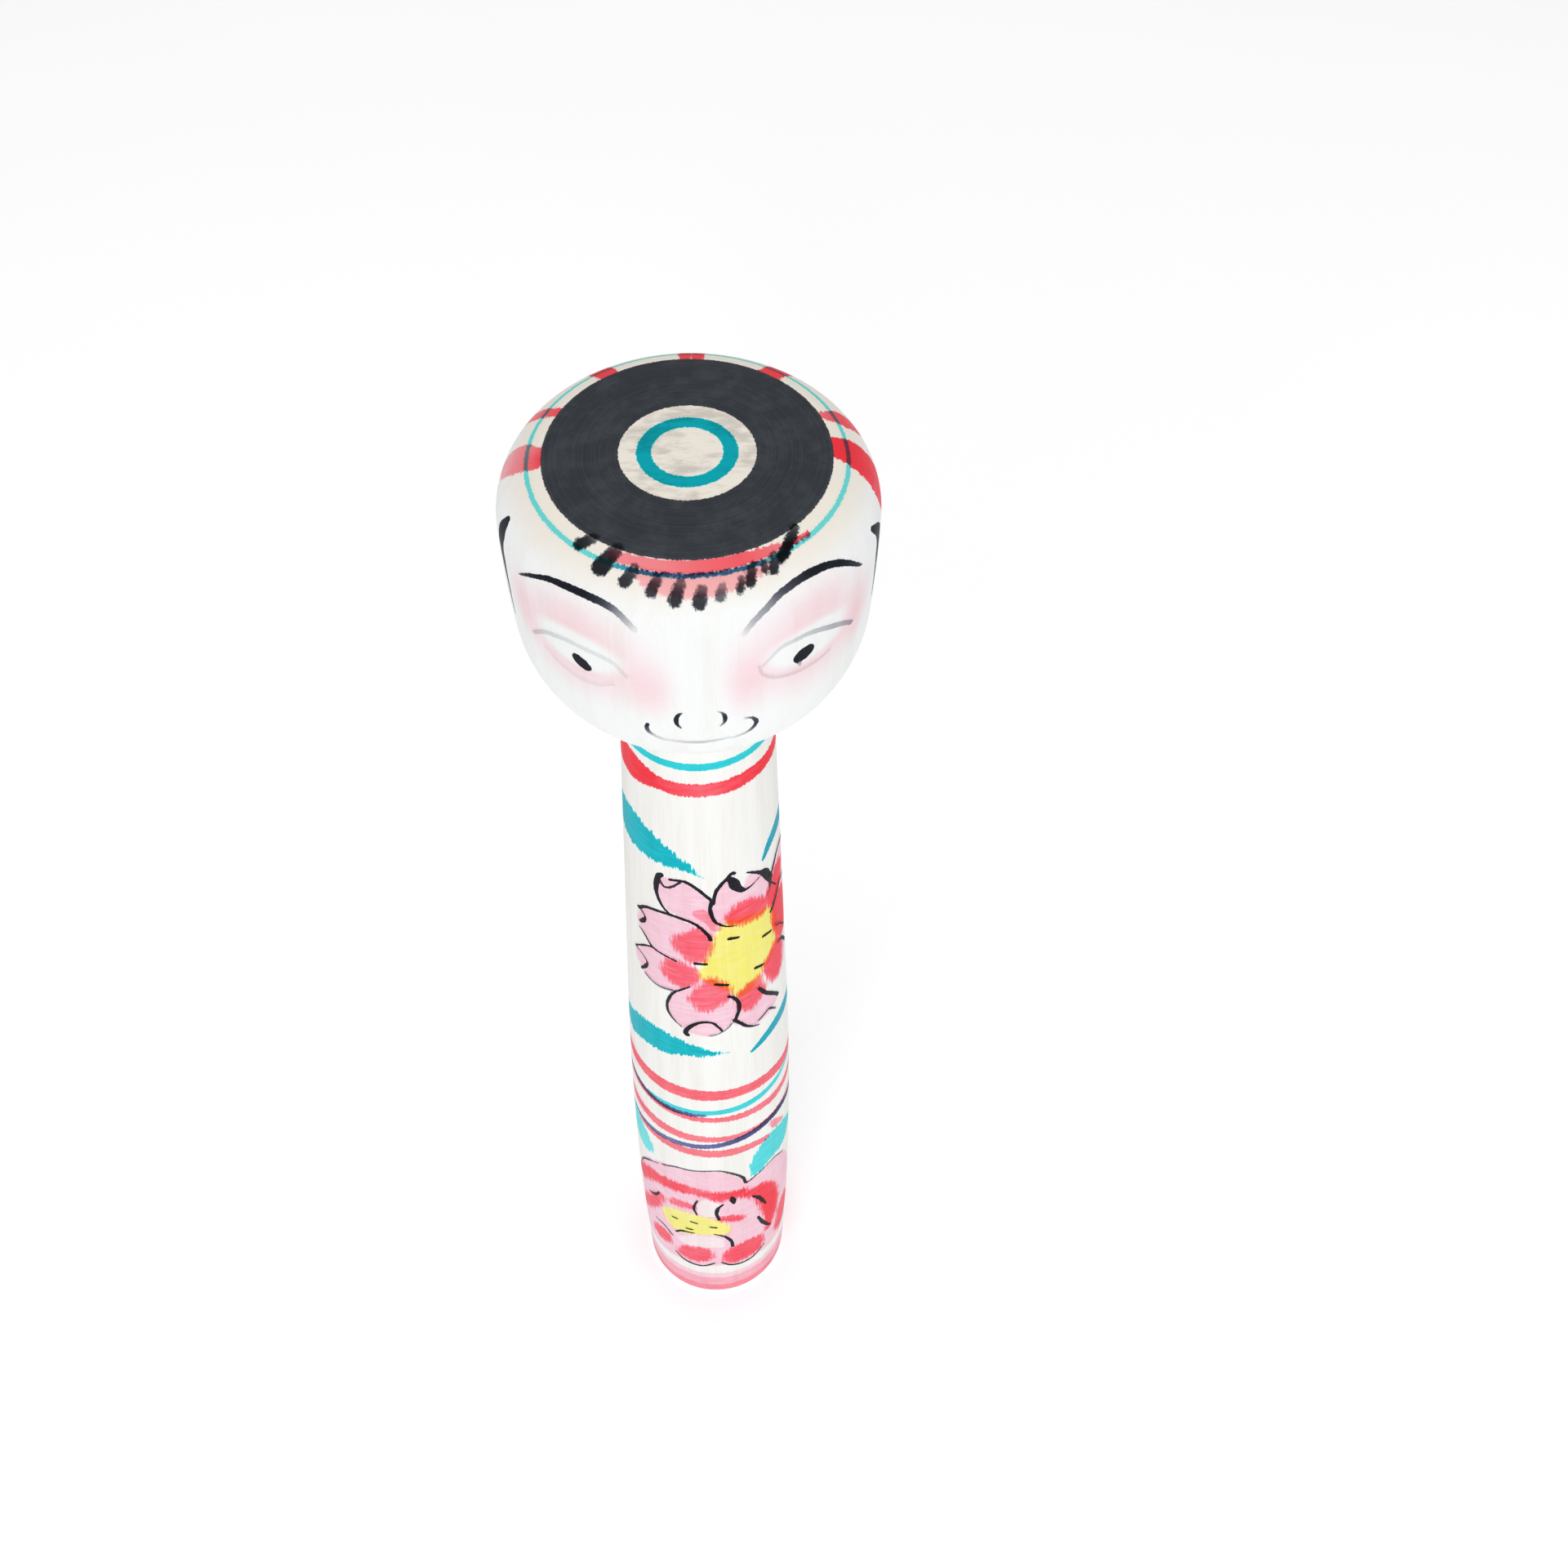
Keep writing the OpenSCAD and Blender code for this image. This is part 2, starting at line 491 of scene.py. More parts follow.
class Recipe:
    """Wires up one material, node by node."""

    def __init__(self, name: str) -> None:
        """Starts a material with nothing but its shader and output.

        Args:
            name: the material's name.
        """
        self.material = bpy.data.materials.new(name)
        self.material.use_nodes = True
        self.tree = self.material.node_tree
        self.tree.nodes.clear()
        self.shader = self.tree.nodes.new("ShaderNodeBsdfPrincipled")
        output = self.tree.nodes.new("ShaderNodeOutputMaterial")
        self.tree.links.new(self.shader.outputs["BSDF"], output.inputs["Surface"])
        self.object_place = self.tree.nodes.new("ShaderNodeTexCoord").outputs["Object"]

    def plug(self, socket: bpy.types.NodeSocket, value: object) -> None:
        """Gives a socket a link or a plain value."""
        if isinstance(value, bpy.types.NodeSocket):
            self.tree.links.new(value, socket)
        else:
            socket.default_value = value

    def maths(self, work: str, a: object, b: object = 0.0, c: object = 0.0) -> bpy.types.NodeSocket:
        """Adds one sum.

        Args:
            work: the operation.
            a: its first number or socket.
            b: its second.
            c: its third.

        Returns:
            The result's socket.
        """
        node = self.tree.nodes.new("ShaderNodeMath")
        node.operation = work
        for socket, value in zip(node.inputs, (a, b, c)):
            self.plug(socket, value)
        return node.outputs[0]

    def layer(self, name: str) -> bpy.types.NodeSocket:
        """Reads one of the piece's own number layers."""
        node = self.tree.nodes.new("ShaderNodeAttribute")
        node.attribute_name = name
        return node.outputs["Fac"]

    def grain(self, stretch: Triple, detail: float = 3.0, rough: float = 0.55) -> bpy.types.NodeSocket:
        """Adds noise with a size of its own along each axis.

        Args:
            stretch: how many lumps there are in a mm along x, y and z.
            detail: how many finer layers it has.
            rough: how strong the finer layers are.

        Returns:
            The noise, from about 0.2 to about 0.8.
        """
        mapping = self.tree.nodes.new("ShaderNodeMapping")
        self.plug(mapping.inputs["Vector"], self.object_place)
        mapping.inputs["Scale"].default_value = [value / MM for value in stretch]
        noise = self.tree.nodes.new("ShaderNodeTexNoise")
        self.plug(noise.inputs["Vector"], mapping.outputs["Vector"])
        noise.inputs["Scale"].default_value = 1.0
        noise.inputs["Detail"].default_value = detail
        noise.inputs["Roughness"].default_value = rough
        return noise.outputs["Fac"]

    def between(
        self, value: object, low: object, high: object, new_low: float = 0.0, new_high: float = 1.0
    ) -> bpy.types.NodeSocket:
        """Maps a range onto another, eased and held at its ends.

        Args:
            value: the number to map.
            low: where the old range starts.
            high: where it ends.
            new_low: what the start becomes.
            new_high: what the end becomes.

        Returns:
            The mapped number's socket.
        """
        node = self.tree.nodes.new("ShaderNodeMapRange")
        node.interpolation_type = "SMOOTHSTEP"
        for socket, given in zip(node.inputs, (value, low, high, new_low, new_high)):
            self.plug(socket, given)
        return node.outputs["Result"]

    def mixed(self, way: str, share: object, under: object, over: object) -> bpy.types.NodeSocket:
        """Mixes two colours.

        Args:
            way: the blend mode.
            share: how much of the second colour there is.
            under: the first colour.
            over: the second colour.

        Returns:
            The mixed colour's socket.
        """
        node = self.tree.nodes.new("ShaderNodeMix")
        node.data_type = "RGBA"
        node.blend_type = way
        self.plug(node.inputs["Factor"], share)
        self.plug(node.inputs[6], under)
        self.plug(node.inputs[7], over)
        return node.outputs[2]

    def power(self, colour: object, amount: object) -> bpy.types.NodeSocket:
        """Deepens a dye's tint as its load grows, as a thicker coat does.

        Args:
            colour: the light that a full load lets through.
            amount: the load.

        Returns:
            The light that this load lets through.
        """
        node = self.tree.nodes.new("ShaderNodeGamma")
        self.plug(node.inputs["Color"], colour)
        self.plug(node.inputs["Gamma"], amount)
        return node.outputs[0]

    def height(self) -> bpy.types.NodeSocket:
        """Reads the height over the doll's base, in mm."""
        split = self.tree.nodes.new("ShaderNodeSeparateXYZ")
        self.plug(split.inputs[0], self.object_place)
        return self.maths("DIVIDE", split.outputs[2], MM)

    def from_axis(self) -> bpy.types.NodeSocket:
        """Reads the distance from the upright axis, in mm."""
        split = self.tree.nodes.new("ShaderNodeSeparateXYZ")
        self.plug(split.inputs[0], self.object_place)
        square = self.maths("MULTIPLY", split.outputs[0], split.outputs[0])
        both = self.maths("MULTIPLY_ADD", split.outputs[1], split.outputs[1], square)
        return self.maths("DIVIDE", self.maths("SQRT", both), MM)

    def lathe_rings(self, tightness: float) -> bpy.types.NodeSocket:
        """Adds noise that only changes with the distance from the axis.

        Args:
            tightness: how many rings there are in a mm.

        Returns:
            The noise, from about 0.2 to about 0.8.
        """
        place = self.tree.nodes.new("ShaderNodeCombineXYZ")
        self.plug(place.inputs[0], self.maths("MULTIPLY", self.from_axis(), tightness))
        noise = self.tree.nodes.new("ShaderNodeTexNoise")
        self.plug(noise.inputs["Vector"], place.outputs[0])
        noise.inputs["Scale"].default_value = 1.0
        noise.inputs["Detail"].default_value = 2.0
        return noise.outputs["Fac"]


@dataclass(frozen=True)
class DyeBath:
    """What a dye does to the wood under it.

    Attributes:
        tint: the light that a full load lets through, in a painter's numbers.
        bleed: how far the edge wanders along the grain, in mm.
        soften: how wide the soft edge is, in mm.
        streak: the share of the load that the brush leaves out in its streaks.
    """

    tint: Tint
    bleed: float = 0.12
    soften: float = 0.12
    streak: float = 0.2


BATHS = {
    Dye.BLUSH: DyeBath((255, 196, 207), 0.0, 0.5, 0.1),
    Dye.PINK: DyeBath((255, 205, 227), 0.25, 0.8, 0.35),
    Dye.YELLOW: DyeBath((254, 243, 104), 0.25, 1.3, 0.3),
    Dye.TEAL: DyeBath((18, 196, 216), 0.08, 0.2, 0.15),
    Dye.LEAF: DyeBath((8, 192, 210), 0.45, 0.4, 0.25),
    Dye.CORAL: DyeBath((255, 138, 150), 0.2, 0.6, 0.25),
    Dye.ROSE: DyeBath((255, 74, 86), 0.5, 1.5, 0.25),
    Dye.RED: DyeBath((255, 56, 72), 0.2, 0.35, 0.2),
    Dye.PLUM: DyeBath((84, 92, 152), 0.15, 0.25, 0.2),
    Dye.CHARCOAL: DyeBath((49, 53, 59), 0.06, 0.15, 0.0),
    Dye.SOOT: DyeBath((38, 41, 48), 0.14, 0.5, 0.12),
    Dye.INK: DyeBath((28, 31, 40), 0.05, 0.14, 0.08),
}


@dataclass(frozen=True)
class PaintedWood:
    """Pale turned wood with dyes soaked into it, under a thin coat of wax.

    Attributes:
        pale: the wood between its fibres.
        fibre: the wood's fibres.
        end_grain: what the cut ends of the fibres do to the colour.
        shine: roughness of the waxed wood.
        gloss: how strongly the wood itself reflects.
        wax: how strong the wax coat is.
        wax_roughness: roughness of the wax coat.
        worn: what handling does to patches of the end grain.
        worn_reach: the radii in mm between which those patches fade out.
        rubbed: the charcoal where the lathe's cuts show through it.
        rubbed_rings: how many of those cuts there are in a mm.
        cuts_across: how much closer the grooves are across the top than up the side.
        cuts_wander: how far the grooves wander.
        mark_strength: how strongly the fibres and grooves catch the light.
        mark_depth: how deep they are, in mm.
    """

    pale: Tint = (246, 246, 243)
    fibre: Tint = (240, 238, 232)
    end_grain: Tint = (241, 235, 226)
    shine: float = 0.5
    gloss: float = 0.04
    wax: float = 0.03
    wax_roughness: float = 0.3
    worn: Tint = (222, 220, 219)
    worn_reach: Point = (8.0, 12.0)
    rubbed: Tint = (68, 71, 75)
    rubbed_rings: float = 2.4
    cuts_across: float = 9.0
    cuts_wander: float = 5.0
    mark_strength: float = 0.25
    mark_depth: float = 0.05

    def mix(self, name: str, dyes: list[Dye], heights: Point) -> bpy.types.Material:
        """Makes the material of one turned piece.

        Args:
            name: the material's name.
            dyes: the dyes on that piece.
            heights: the heights between which the side turns into end grain, in mm.

        Returns:
            The material.
        """
        recipe = Recipe(name)
        broad = recipe.grain(BROAD_FIBRE, 4.0)
        fine = recipe.grain(FINE_FIBRE, 2.0)
        brush = recipe.grain(BRUSH_STREAK, 3.0)
        rag = recipe.grain(RAGGED_EDGE, 2.0, 0.6)
        ends = recipe.between(recipe.height(), *heights)
        fibres = recipe.between(recipe.maths("MULTIPLY_ADD", fine, 0.55, broad), 0.62, 1.05)
        fibres = recipe.maths("MULTIPLY", fibres, recipe.maths("MULTIPLY_ADD", ends, -0.7, 1.0))
        colour = recipe.mixed("MIX", fibres, linear(*self.pale), linear(*self.fibre))
        colour = recipe.mixed("MULTIPLY", ends, colour, linear(*self.end_grain))
        patches = recipe.between(recipe.grain(HANDLED_PATCH, 4.0, 0.6), 0.42, 0.66)
        middle = recipe.between(recipe.from_axis(), *self.worn_reach, 1.0, 0.0)
        patches = recipe.maths("MULTIPLY", patches, recipe.maths("MULTIPLY", middle, ends))
        colour = recipe.mixed("MULTIPLY", patches, colour, linear(*self.worn))
        wander = recipe.between(rag, 0.32, 0.68, -1.0, 1.0)
        side_grain = recipe.maths("SUBTRACT", 1.0, ends)
        streaks = recipe.maths("MULTIPLY", recipe.between(brush, 0.35, 0.68), side_grain)
        covered = 0.0
        for dye in dyes:
            bath = BATHS[dye]
            edge = recipe.maths("MULTIPLY_ADD", wander, bath.bleed, recipe.layer(f"{dye.value}_edge"))
            inside = recipe.between(edge, bath.soften / 2, -bath.soften / 2)
            kept = recipe.maths("MULTIPLY_ADD", streaks, -bath.streak, 1.0)
            amount = recipe.maths("MULTIPLY", inside, recipe.layer(f"{dye.value}_load"))
            amount = recipe.maths("MULTIPLY", amount, kept)
            if dye is Dye.CHARCOAL:
                cuts = recipe.between(recipe.lathe_rings(self.rubbed_rings), 0.4, 0.72)
                thin = recipe.between(recipe.grain(RUBBED_PATCH, 5.0, 0.65), 0.4, 0.7)
                thin = recipe.maths("MULTIPLY_ADD", cuts, 0.45, recipe.maths("MULTIPLY", thin, 0.55))
                black = recipe.mixed("MIX", thin, linear(*bath.tint), linear(*self.rubbed))
                colour = recipe.mixed("MIX", amount, colour, black)
            else:
                colour = recipe.mixed("MULTIPLY", 1.0, colour, recipe.power(linear(*bath.tint), amount))
            covered = recipe.maths("MAXIMUM", covered, amount)
        recipe.plug(recipe.shader.inputs["Base Color"], colour)
        rough = recipe.maths("MULTIPLY_ADD", fibres, 0.08, self.shine)
        rough = recipe.maths("MULTIPLY_ADD", covered, -0.06, rough)
        recipe.plug(recipe.shader.inputs["Roughness"], rough)
        recipe.shader.inputs["Specular IOR Level"].default_value = self.gloss
        recipe.shader.inputs["Coat Weight"].default_value = self.wax
        recipe.shader.inputs["Coat Roughness"].default_value = self.wax_roughness
        self._tool_marks(recipe, fine, ends)
        return recipe.material

    def _tool_marks(
        self, recipe: Recipe, fine: bpy.types.NodeSocket, ends: bpy.types.NodeSocket
    ) -> None:
        """Adds the fibres and the lathe's fine grooves to the surface.

        Args:
            recipe: the material in the making.
            fine: the fibres' noise.
            ends: how much of the end grain shows.
        """
        sweep = recipe.maths("MULTIPLY_ADD", recipe.from_axis(), self.cuts_across, recipe.height())
        waver = recipe.grain(LATHE_WAVER, 2.0)
        groove = recipe.maths("SINE", recipe.maths("MULTIPLY_ADD", waver, self.cuts_wander, sweep))
        groove = recipe.maths("MULTIPLY", groove, recipe.maths("MULTIPLY_ADD", ends, 0.35, 0.08))
        level = recipe.maths("MULTIPLY_ADD", fine, 0.5, groove)
        bump = recipe.tree.nodes.new("ShaderNodeBump")
        bump.inputs["Strength"].default_value = self.mark_strength
        bump.inputs["Distance"].default_value = self.mark_depth * MM
        recipe.plug(bump.inputs["Height"], level)
        recipe.plug(recipe.shader.inputs["Normal"], bump.outputs["Normal"])


BODY_WOOD = PaintedWood()
# painted cool light: the head is a cooler copy of the body's wood, tinted to stand for the bluish light and
# shade on the face and chin
HEAD_WOOD_WITH_COOL_LIGHT = PaintedWood(pale=(244, 246, 246), fibre=(240, 241, 238), end_grain=(247, 238, 227))


def deselect() -> None:
    """Leaves object mode with nothing selected."""
    if bpy.context.object and bpy.context.object.mode != "OBJECT":
        bpy.ops.object.mode_set(mode="OBJECT")
    bpy.ops.object.select_all(action="DESELECT")


def turn_on_lathe(
    name: str, outline: list[Point], steps: int, crease: float = 28.0
) -> bpy.types.Object:
    """Turns an outline about the upright axis.

    Args:
        name: the new piece's name.
        outline: radius and height in mm, from the axis back to the axis.
        steps: how many steps a full turn has.
        crease: edges sharper than this stay sharp, in degrees.

    Returns:
        The closed piece, with its place in its mesh.
    """
    deselect()
    bpy.ops.mesh.primitive_plane_add(size=MM)
    piece = bpy.context.object
    piece.name = name
    bpy.ops.object.mode_set(mode="EDIT")
    bpy.ops.mesh.select_all(action="SELECT")
    bpy.ops.mesh.merge(type="CENTER")
    for (r0, z0), (r1, z1) in zip(outline, outline[1:]):
        step = (0.0, -(r1 - r0) * MM, (z1 - z0) * MM)
        bpy.ops.mesh.extrude_region_move(TRANSFORM_OT_translate={"value": step})
    bpy.ops.object.mode_set(mode="OBJECT")
    exact = np.array([(0.0, -r * MM, z * MM) for r, z in outline])
    piece.data.vertices.foreach_set("co", exact.ravel())
    bpy.ops.object.mode_set(mode="EDIT")
    bpy.ops.mesh.select_all(action="SELECT")
    bpy.ops.mesh.spin(steps=steps, angle=math.tau, center=(0, 0, 0), axis=(0, 0, 1))
    bpy.ops.mesh.select_all(action="SELECT")
    bpy.ops.mesh.remove_doubles(threshold=MERGE * MM)
    bpy.ops.mesh.normals_make_consistent(inside=False)
    bpy.ops.object.mode_set(mode="OBJECT")
    bpy.ops.object.shade_smooth_by_angle(angle=math.radians(crease))
    return piece


@dataclass
class Film:
    """The thin films of ink that lie on a turned piece.

    Attributes:
        chart: the chart of the piece that they lie on.
        lift: how far a film stands out of the wood, in mm.
        thick: how thick it is, in mm.
        margin: how far it reaches past the ink on each side, in mm.
        gap: how far apart its points are, in mm.
        least: the fewest steps that it has each way.
        path_steps: how many steps its path has between two given points.
        stack: how much higher each next film of a piece lies, in mm.
        crown_height: height in mm above which a film's outer side turns upwards.
        upward: how strongly it does.
        crease: edges sharper than this stay sharp, in degrees.
    """

    chart: Chart
    lift: float = 0.03
    thick: float = 0.05
    margin: float = 0.22
    gap: float = 0.22
    least: int = 4
    path_steps: int = 8
    stack: float = 0.002
    crown_height: float = 215.0
    upward: float = 3.0
    crease: float = 40.0

    def lay(self, name: str, strokes: list[Stroke]) -> bpy.types.Object:
        """Lays the films of a few strokes as one piece.

        Args:
            name: the new piece's name.
            strokes: the strokes.

        Returns:
            The piece, with its place in its mesh.
        """
        ribbons = [self._ribbon(stroke, self.lift + self.stack * i) for i, stroke in enumerate(strokes)]
        deselect()
        for ribbon in ribbons:
            ribbon.select_set(True)
        bpy.context.view_layer.objects.active = ribbons[0]
        if len(ribbons) > 1:
            bpy.ops.object.join()
        piece = bpy.context.object
        piece.name = name
        wall = piece.modifiers.new("film", "SOLIDIFY")
        wall.thickness = self.thick * MM
        wall.offset = -1.0
        bpy.ops.object.modifier_apply(modifier="film")
        bpy.ops.object.shade_smooth_by_angle(angle=math.radians(self.crease))
        return piece

    def _ribbon(self, stroke: Stroke, lift: float) -> bpy.types.Object:
        """Shapes the film of one stroke.

        Args:
            stroke: the stroke.
            lift: how far the film stands out of the wood, in mm.

        Returns:
            The film as a single sheet.
        """
        path = curve_through(stroke.path, False, self.path_steps)
        radius = np.interp(path[:, 1], self.chart.places, self.chart.outline[:, 0])
        flat = np.stack([np.radians(path[:, 0]) * radius, path[:, 1]], 1)
        run = np.concatenate([[0.0], np.cumsum(np.hypot(*np.diff(flat, axis=0).T))])
        half = np.interp(np.linspace(0, 1, len(path)), np.linspace(0, 1, len(stroke.half)), stroke.half)
        widest = max(stroke.half) + self.margin
        ends = (half[0] + self.margin, half[-1] + self.margin)
        length = run[-1] + sum(ends)
        deselect()
        bpy.ops.mesh.primitive_grid_add(
            x_subdivisions=max(self.least, math.ceil(length / self.gap)),
            y_subdivisions=max(self.least, math.ceil(2 * widest / self.gap)),
            size=1.0,
        )
        sheet = bpy.context.object
        spots = np.empty(len(sheet.data.vertices) * 3)
        sheet.data.vertices.foreach_get("co", spots)
        spots = spots.reshape(-1, 3)
        along = (spots[:, 0] + 0.5) * length - ends[0]
        held = np.clip(along, 0.0, run[-1])
        past = along - held
        heading = np.gradient(flat, run, axis=0)
        heading /= np.maximum(np.hypot(*heading.T), 1e-9)[:, None]
        hx = np.interp(held, run, heading[:, 0])
        hy = np.interp(held, run, heading[:, 1])
        reach = 2 * spots[:, 1] * (np.interp(held, run, half) + self.margin)
        x = np.interp(held, run, flat[:, 0]) + past * hx - reach * hy
        y = np.interp(held, run, flat[:, 1]) + past * hy + reach * hx
        local = np.interp(held, run, radius)
        placed = self.chart.spot(np.degrees(x / local), y, lift)
        sheet.data.vertices.foreach_set("co", (placed * MM).ravel())
        bpy.ops.object.mode_set(mode="EDIT")
        bpy.ops.mesh.select_all(action="SELECT")
        bpy.ops.mesh.normals_make_consistent(inside=False)
        bpy.ops.object.mode_set(mode="OBJECT")
        self._face_out(sheet)
        return sheet

    def _face_out(self, sheet: bpy.types.Object) -> None:
        """Turns a sheet over if it faces into the doll.

        Args:
            sheet: the sheet.
        """
        face = sheet.data.polygons[len(sheet.data.polygons) // 2]
        rise = max(0.0, face.center.z - self.crown_height * MM) * self.upward
        away = Vector((face.center.x, face.center.y, rise))
        if face.normal.dot(away) < 0:
            bpy.ops.object.mode_set(mode="EDIT")
            bpy.ops.mesh.select_all(action="SELECT")
            bpy.ops.mesh.flip_normals()
            bpy.ops.object.mode_set(mode="OBJECT")


@dataclass
class HeadPainting:
    """What is painted on the head. Places run from the crown's centre down the side."""

    def crown(self) -> list[Stroke | Patch | Wash]:
        """Lists the bands of the crown and the strokes that run out of it."""
        red = Dye.RED
        return [
            ring(Dye.TEAL, 4.96, 6.98, 1.3),
            ring(Dye.CHARCOAL, 9.47, 20.1),
            Stroke(
                red,
                ((-91, 20.2), (-92, 21.5), (-95, 24), (-97, 26.5)),
                (1.8, 2.2, 2.6, 2.3),
                (0.8, 0.4, 0.25),
            ),
            Stroke(red, ((-118, 20), (-118, 24), (-118, 28)), (1.0, 1.2, 0.7), (0.7, 0.45, 0.3)),
            Stroke(red, ((92, 20.2), (91, 24), (89, 29), (88, 34)), (2.0, 2.9, 3.4, 2.4), (0.95, 0.9, 0.6)),
            Stroke(red, ((111, 20.5), (110, 24), (110, 29)), (0.8, 1.8, 1.2), (0.5, 0.7, 0.5)),
            Stroke(red, ((174.5, 20), (174.5, 24), (174.5, 28)), (0.8, 1.0, 0.6), (0.8, 0.9, 0.6)),
            Stroke(red, ((179.5, 20), (179.5, 24), (179.5, 29)), (0.8, 1.0, 0.6), (0.8, 0.9, 0.6)),
            Stroke(red, ((143.5, 20), (143.5, 25), (143.5, 30)), (1.7, 1.9, 0.9), (0.8, 0.9, 0.6)),
            Stroke(red, ((-148, 20), (-148, 25), (-148, 29)), (1.5, 1.8, 0.9), (0.8, 0.9, 0.6)),
        ]

    def crown_line(self) -> list[Stroke]:
        """Lists the thin line round the crown."""
        return [
            ring(Dye.TEAL, 21.95, 22.65, 0.35),
            Stroke(
                Dye.PLUM,
                ((-27, 22.3), (-10, 22.3), (8, 22.3), (25, 22.3)),
                (0.3,),
                (0.35, 0.7, 0.7, 0.5),
            ),
        ]

    def fringe_dye(self) -> list[Stroke | Patch | Wash]:
        """Lists the red and coral dye under the fringe."""
        return [
            Stroke(
                Dye.RED,
                ((-29, 21), (-10, 21.1), (5, 21.1), (18, 21.05), (33, 21.2)),
                (0.8, 1.05, 1.1, 1.0, 0.6),
                (0.35, 0.4, 0.55, 0.62, 0.45),
            ),
            Stroke(Dye.RED, ((36, 21.7), (46, 21.9)), (0.4, 0.3), (0.7,)),
            Patch(
                Dye.CORAL,
                ((-19, 22.0), (0, 22.0), (18, 22.0), (28, 22.0), (25, 23.6), (12, 24.9), (-3, 25.3),
                 (-15, 24.3)),
                0.5,
            ),
        ]

    def fringe(self) -> list[Stroke]:
        """Lists the dabs of the fringe."""
        dabs = (
            ((-39.5, 20.0), (-42.5, 21.7), 0.9, 1.0),
            ((-29.0, 20.2), (-31.5, 23.2), 1.2, 1.0),
            ((-20.0, 22.0), (-22.0, 24.0), 0.85, 0.85),
            ((-11.5, 22.6), (-13.0, 24.7), 0.75, 0.8),
            ((-4.0, 23.3), (-5.5, 25.6), 0.85, 0.85),
            ((3.0, 24.2), (1.8, 26.0), 0.85, 0.85),
            ((9.5, 24.1), (8.3, 25.4), 0.7, 0.5),
            ((16.4, 23.5), (14.8, 25.0), 0.5, 0.8),
            ((21.0, 22.3), (18.6, 24.3), 0.7, 0.9),
            ((25.5, 22.4), (24.5, 23.5), 0.4, 0.7),
            ((30.0, 22.0), (27.4, 23.8), 0.65, 0.9),
            ((43.5, 20.2), (31.5, 22.7), 0.75, 1.3),
        )
        rows = []
        for start, end, half, load in dabs:
            middle = ((start[0] + end[0]) / 2, (start[1] + end[1]) / 2)
            widths = (half * 0.75, half * 0.9, half)
            rows.append(Stroke(Dye.SOOT, (start, middle, end), widths, (load * 0.5, load * 0.9, load)))
        return rows

    def brows(self) -> list[Stroke]:
        """Lists the two brows."""
        return [
            Stroke(
                Dye.INK,
                ((-60, 31.5), (-56, 30.2), (-50, 28.7), (-45, 27.9), (-36, 27.4), (-27, 27.6),
                 (-22, 28.4), (-17, 30.2)),
                (0.12, 0.3, 0.42, 0.55, 0.5, 0.45),
                (0.6, 1.0, 1.0, 1.0, 0.35, 0.04),
            ),
            Stroke(
                Dye.INK,
                ((14, 31.3), (17, 29.7), (22, 28.2), (27, 27.0), (35, 26.35), (42, 26.6), (48, 27.5),
                 (53, 29), (57, 30.7), (59, 31.5)),
                (0.4, 0.48, 0.58, 0.45, 0.15),
                (0.03, 0.3, 1.0, 1.0, 0.5),
            ),
        ]

    def eyelids(self) -> list[Stroke]:
        """Lists the lines of the eyelids."""
        return [
            Stroke(
                Dye.INK,
                ((-56, 41.5), (-50, 39), (-45, 37.9), (-40, 37.2), (-35, 37.1), (-28, 37.3), (-24, 38),
                 (-20.5, 40)),
                (0.35, 0.45, 0.45, 0.45, 0.35),
                (0.1, 0.075, 0.055, 0.045, 0.03),
            ),
            Stroke(
                Dye.INK,
                ((19, 39), (25, 36.3), (30, 35.9), (35, 36), (40, 36.8), (45, 38), (50, 39.4),
                 (55, 41.3)),
                (0.3, 0.45, 0.48, 0.4),
                (0.03, 0.09, 0.17, 0.2),
            ),
            Stroke(
                Dye.INK,
                ((-50, 42.3), (-46, 43.3), (-40, 44), (-35, 44.2), (-30, 43.8), (-25, 42.5)),
                (0.3, 0.4, 0.3),
                (0.025,),
            ),
            Stroke(
                Dye.INK,
                ((18.5, 38.5), (20, 40.5), (24, 42), (30, 42.8), (35, 43), (40, 43), (44, 42.6)),
                (0.25, 0.35, 0.3),
                (0.05,),
            ),
        ]

    def pupils(self) -> list[Stroke]:
        """Lists the pupils."""
        return [
            Stroke(Dye.INK, ((-36.5, 40.0), (-35.2, 40.4), (-33.9, 40.8)), (0.95, 1.1, 0.95), (1.1,)),
            Stroke(Dye.INK, ((32.3, 39.9), (33.5, 39.7), (34.9, 39.5)), (1.15, 1.3, 1.15), (1.1,)),
            Stroke(Dye.INK, ((32.0, 41.0), (32.5, 42.0)), (0.35, 0.2), (0.25, 0.05)),
        ]

    def nose(self) -> list[Stroke]:
        """Lists the two short curves of the nose."""
        return [
            Stroke(
                Dye.INK,
                ((-4.6, 46.6), (-5.8, 47.1), (-6.4, 48.2), (-6.2, 49.3), (-5.2, 50.1)),
                (0.16, 0.3, 0.34, 0.28, 0.16),
                (0.3, 1.0, 1.0, 0.9, 0.3),
            ),
            Stroke(
                Dye.INK,
                ((6.2, 46.6), (7.7, 47.2), (8.4, 48.3), (8.0, 49.4), (6.8, 50.1)),
                (0.14, 0.22, 0.3, 0.22, 0.14),
                (0.1, 0.5, 1.0, 0.5, 0.08),
            ),
        ]

